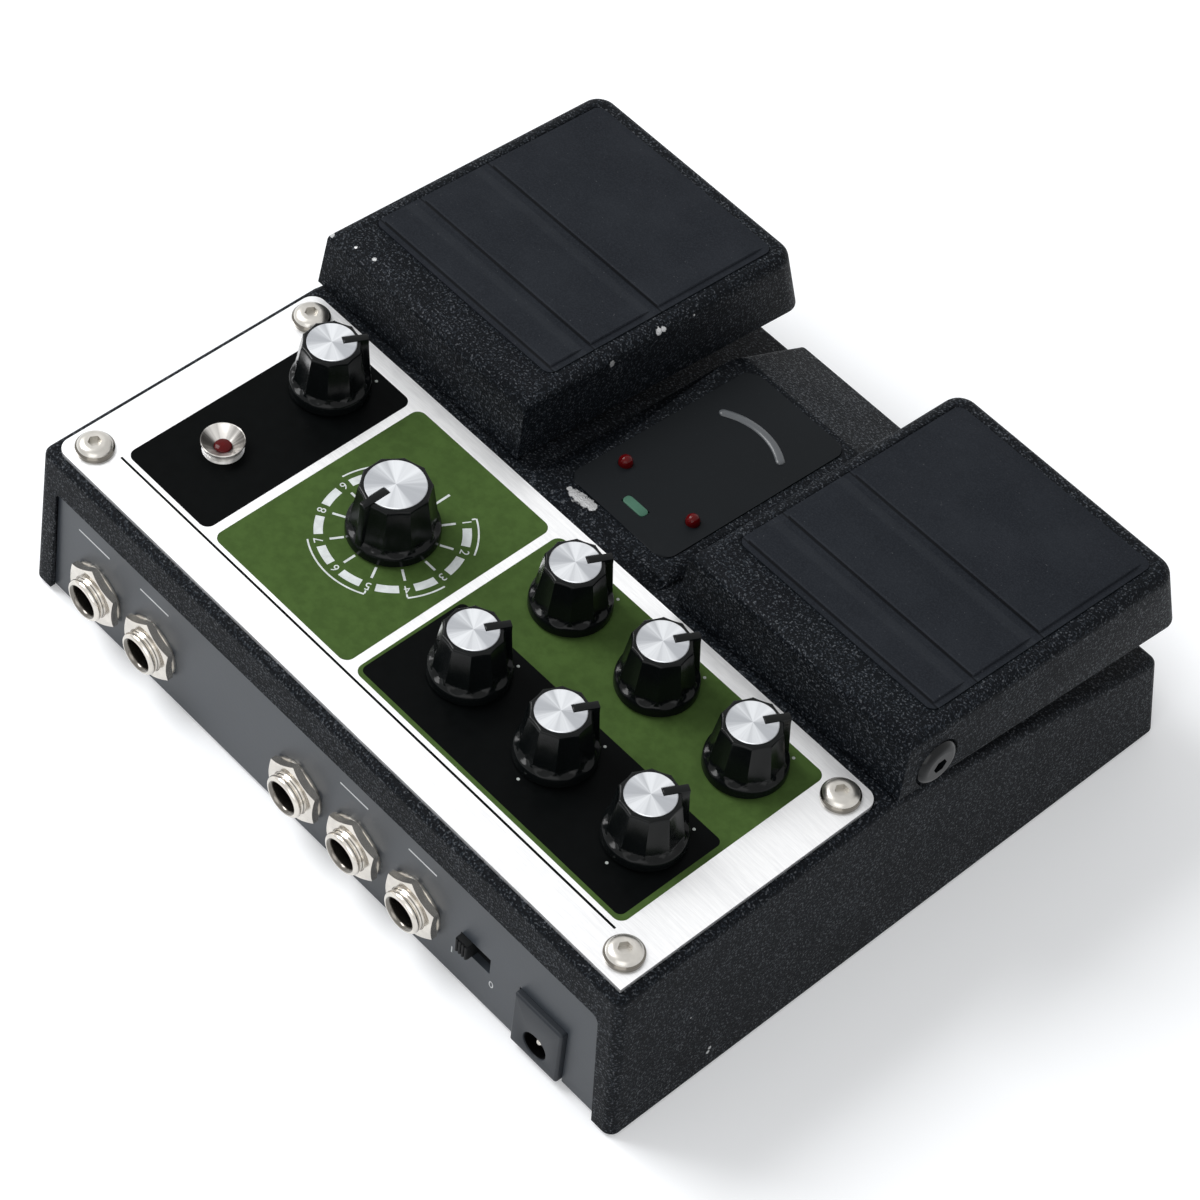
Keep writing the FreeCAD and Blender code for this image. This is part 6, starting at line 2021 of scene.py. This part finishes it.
@dataclass
class Underside:
    """Rubber feet with a shallow dish in each sole."""

    foot_radius: float = 7.0
    dish: float = 0.25
    feet: tuple[Spot, ...] = ((65.0, -60.6), (-65.0, -60.6), (65.0, 56.4), (-65.0, 56.4))

    def build(self) -> None:
        """Makes the four feet."""
        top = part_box("rubber_feet")[1].z / MM
        radius, dish = self.foot_radius, self.dish
        profile = [(0.0, dish), (radius - 2.6, dish), (radius - 2.3, 0.0), (radius - 0.6, 0.0),
                   (radius - 0.15, 0.15), (radius, 0.4), (radius, top), (0.0, top)]
        feet = turned(profile, 64).repeated([at(x, y, 0.0) for x, y in self.feet])
        rubber = TreadRubber((0.012, 0.013, 0.015), (0.022, 0.024, 0.026)).make("foot_rubber")
        add_piece("floor_feet", feet.mesh("floor_feet"), "unit", rubber,
                  ["rubber_feet"])


@dataclass
class InnerParts:
    """Finishes for the CAD nodes that keep their shape."""

    def build(self) -> None:
        """Gives each remaining node its material."""
        plastic = MouldedPlastic().make("black_moulding")
        steel = Plating((0.50, 0.50, 0.51), 0.32).make("plain_steel")
        spring = Plating((0.42, 0.42, 0.43), 0.25).make("spring_steel")
        nickel = Plating((0.60, 0.58, 0.54), 0.25).make("hidden_nickel")
        bolt = GlossPlastic((0.004, 0.005, 0.006), 0.08, 0.22).make("blackened_bolt")
        board = SolderMask().make("solder_mask")
        base = SatinPaint((0.05, 0.052, 0.055), 0.45).make("base_satin")
        cells = CellWrap().make("cell_sleeve")
        groups = {
            plastic: ["battery_door", "battery_box", "lock_switch_body", "jack_bodies",
                      "foot_switches"],
            steel: ["pot_bodies", "selector_switch"]
            + [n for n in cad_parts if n.endswith("_shaft")],
            spring: ["left_spring", "right_spring"],
            nickel: ["base_screws", "plate_screws", "pot_nuts", "selector_nut"],
            bolt: ["hinge_pins"], board: ["control_board", "main_board", "jack_board"],
            base: ["base_plate"], cells: ["battery_cells"]}
        for finish, nodes in groups.items():
            for node in nodes:
                dress_node(node, finish)


# Studio


@dataclass
class Studio:
    """Floor, light and the camera at the photograph's angle."""

    azimuth: float = 221.575
    elevation: float = 51.214
    roll: float = 7.506
    location: Point = (-0.3356, 0.3776, 0.6464)
    lens: float = 121.27
    sensor: float = 36.0
    floor_size: float = 6.0
    sky: float = 0.55
    key_place: Point = (1.1, 0.35, 1.25)
    key_size: float = 0.9
    key_power: float = 24.0
    fill_place: Point = (-0.7, 1.1, 0.9)
    fill_size: float = 1.2
    fill_power: float = 6.0
    floor_lit: Colour = (0.68, 0.685, 0.69)
    floor_seen: Colour = (0.85, 0.865, 0.885)
    glow: float = 0.19

    def build(self) -> None:
        """Sets the studio up."""
        bpy.context.scene.view_settings.view_transform = "Standard"
        self._world()
        self._floor()
        self._lamp("key_light", self.key_place, self.key_size, self.key_power)
        self._lamp("fill_light", self.fill_place, self.fill_size, self.fill_power)
        self._camera()

    def _seen(self, nodes: Nodes) -> Signal:
        """Signal of 1 for the rays that look at the surroundings.

        Args:
            nodes: The tree that it is added to.

        Returns:
            The signal, 0 for the rays that only carry light.
        """
        path = nodes.node("ShaderNodeLightPath").socket.node
        seen = Signal(nodes, path.outputs["Is Camera Ray"])
        for other in ("Is Glossy Ray", "Is Transmission Ray"):
            seen = seen.clipped_below(Signal(nodes, path.outputs[other]))
        return seen

    def _world(self) -> None:
        """White surroundings for the eye and for reflections, softer as light."""
        world = bpy.data.worlds.new("studio")
        bpy.context.scene.world = world
        world.use_nodes = True
        nodes = Nodes(world.node_tree)
        seen = self._seen(nodes)
        back = next(n for n in world.node_tree.nodes if n.type == "BACKGROUND")
        back.inputs["Color"].default_value = (1.0, 1.0, 1.0, 1.0)
        nodes.feed(back.inputs["Strength"], self.sky + seen * (1.0 - self.sky))

    def _floor(self) -> None:
        """White floor that keeps the shadow."""
        half = self.floor_size / 2
        mesh = bpy.data.meshes.new("studio_floor")
        mesh.from_pydata([(-half, -half, 0), (half, -half, 0), (half, half, 0),
                          (-half, half, 0)], [], [(0, 1, 2, 3)])
        floor = bpy.data.objects.new("studio_floor", mesh)
        bpy.context.scene.collection.objects.link(floor)
        graph = Graph("floor_white")
        seen = self._seen(graph)
        base = graph.blend(seen, self.floor_lit, self.floor_seen)
        lift = graph.blend(seen, (0.0, 0.0, 0.0), (1.0, 1.0, 1.0))
        material = graph.finish({"Base Color": base, "Roughness": 0.9,
                                 "Specular IOR Level": 0.1, "Emission Color": lift,
                                 "Emission Strength": self.glow})
        mesh.materials.append(material)

    def _lamp(self, name: str, place: Sequence[float], size: float, power: float) -> None:
        """Adds a square lamp that looks at the object.

        Args:
            name: Name of the lamp.
            place: Where it stands, in metres.
            size: Its side in metres.
            power: Its power in watts.
        """
        light = bpy.data.lights.new(name, "AREA")
        light.size = size
        light.energy = power
        lamp = bpy.data.objects.new(name, light)
        lamp.location = place
        lamp.rotation_euler = (-Vector(place)).to_track_quat("-Z", "Y").to_euler()
        bpy.context.scene.collection.objects.link(lamp)

    def _camera(self) -> None:
        """Camera at the photograph's place, with its roll."""
        around, above, roll = (math.radians(a) for a in (self.azimuth, self.elevation,
                                                         self.roll))
        back = Vector((math.sin(around) * math.cos(above), -math.cos(around) * math.cos(above),
                       math.sin(above)))
        level = Vector((math.cos(around), math.sin(around), 0.0))
        rise = back.cross(level)
        right = level * math.cos(roll) + rise * math.sin(roll)
        up = rise * math.cos(roll) - level * math.sin(roll)
        data = bpy.data.cameras.new("camera")
        data.lens = self.lens
        data.sensor_width = self.sensor
        camera = bpy.data.objects.new("camera", data)
        turn = Matrix((right, up, back)).transposed().to_4x4()
        camera.matrix_world = Matrix.Translation(self.location) @ turn
        bpy.context.scene.collection.objects.link(camera)
        bpy.context.scene.camera = camera


def main() -> None:
    """Builds every sub-assembly in order and logs what it builds."""
    logging.basicConfig(level=logging.INFO, format="%(message)s")
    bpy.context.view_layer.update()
    for part in (Castings(), ControlPlate(), Controls(), Display(), RearPanel(), Underside(),
                 InnerParts(), Studio()):
        log.info("building %s", type(part).__name__)
        part.build()


if __name__ == "__main__":
    main()
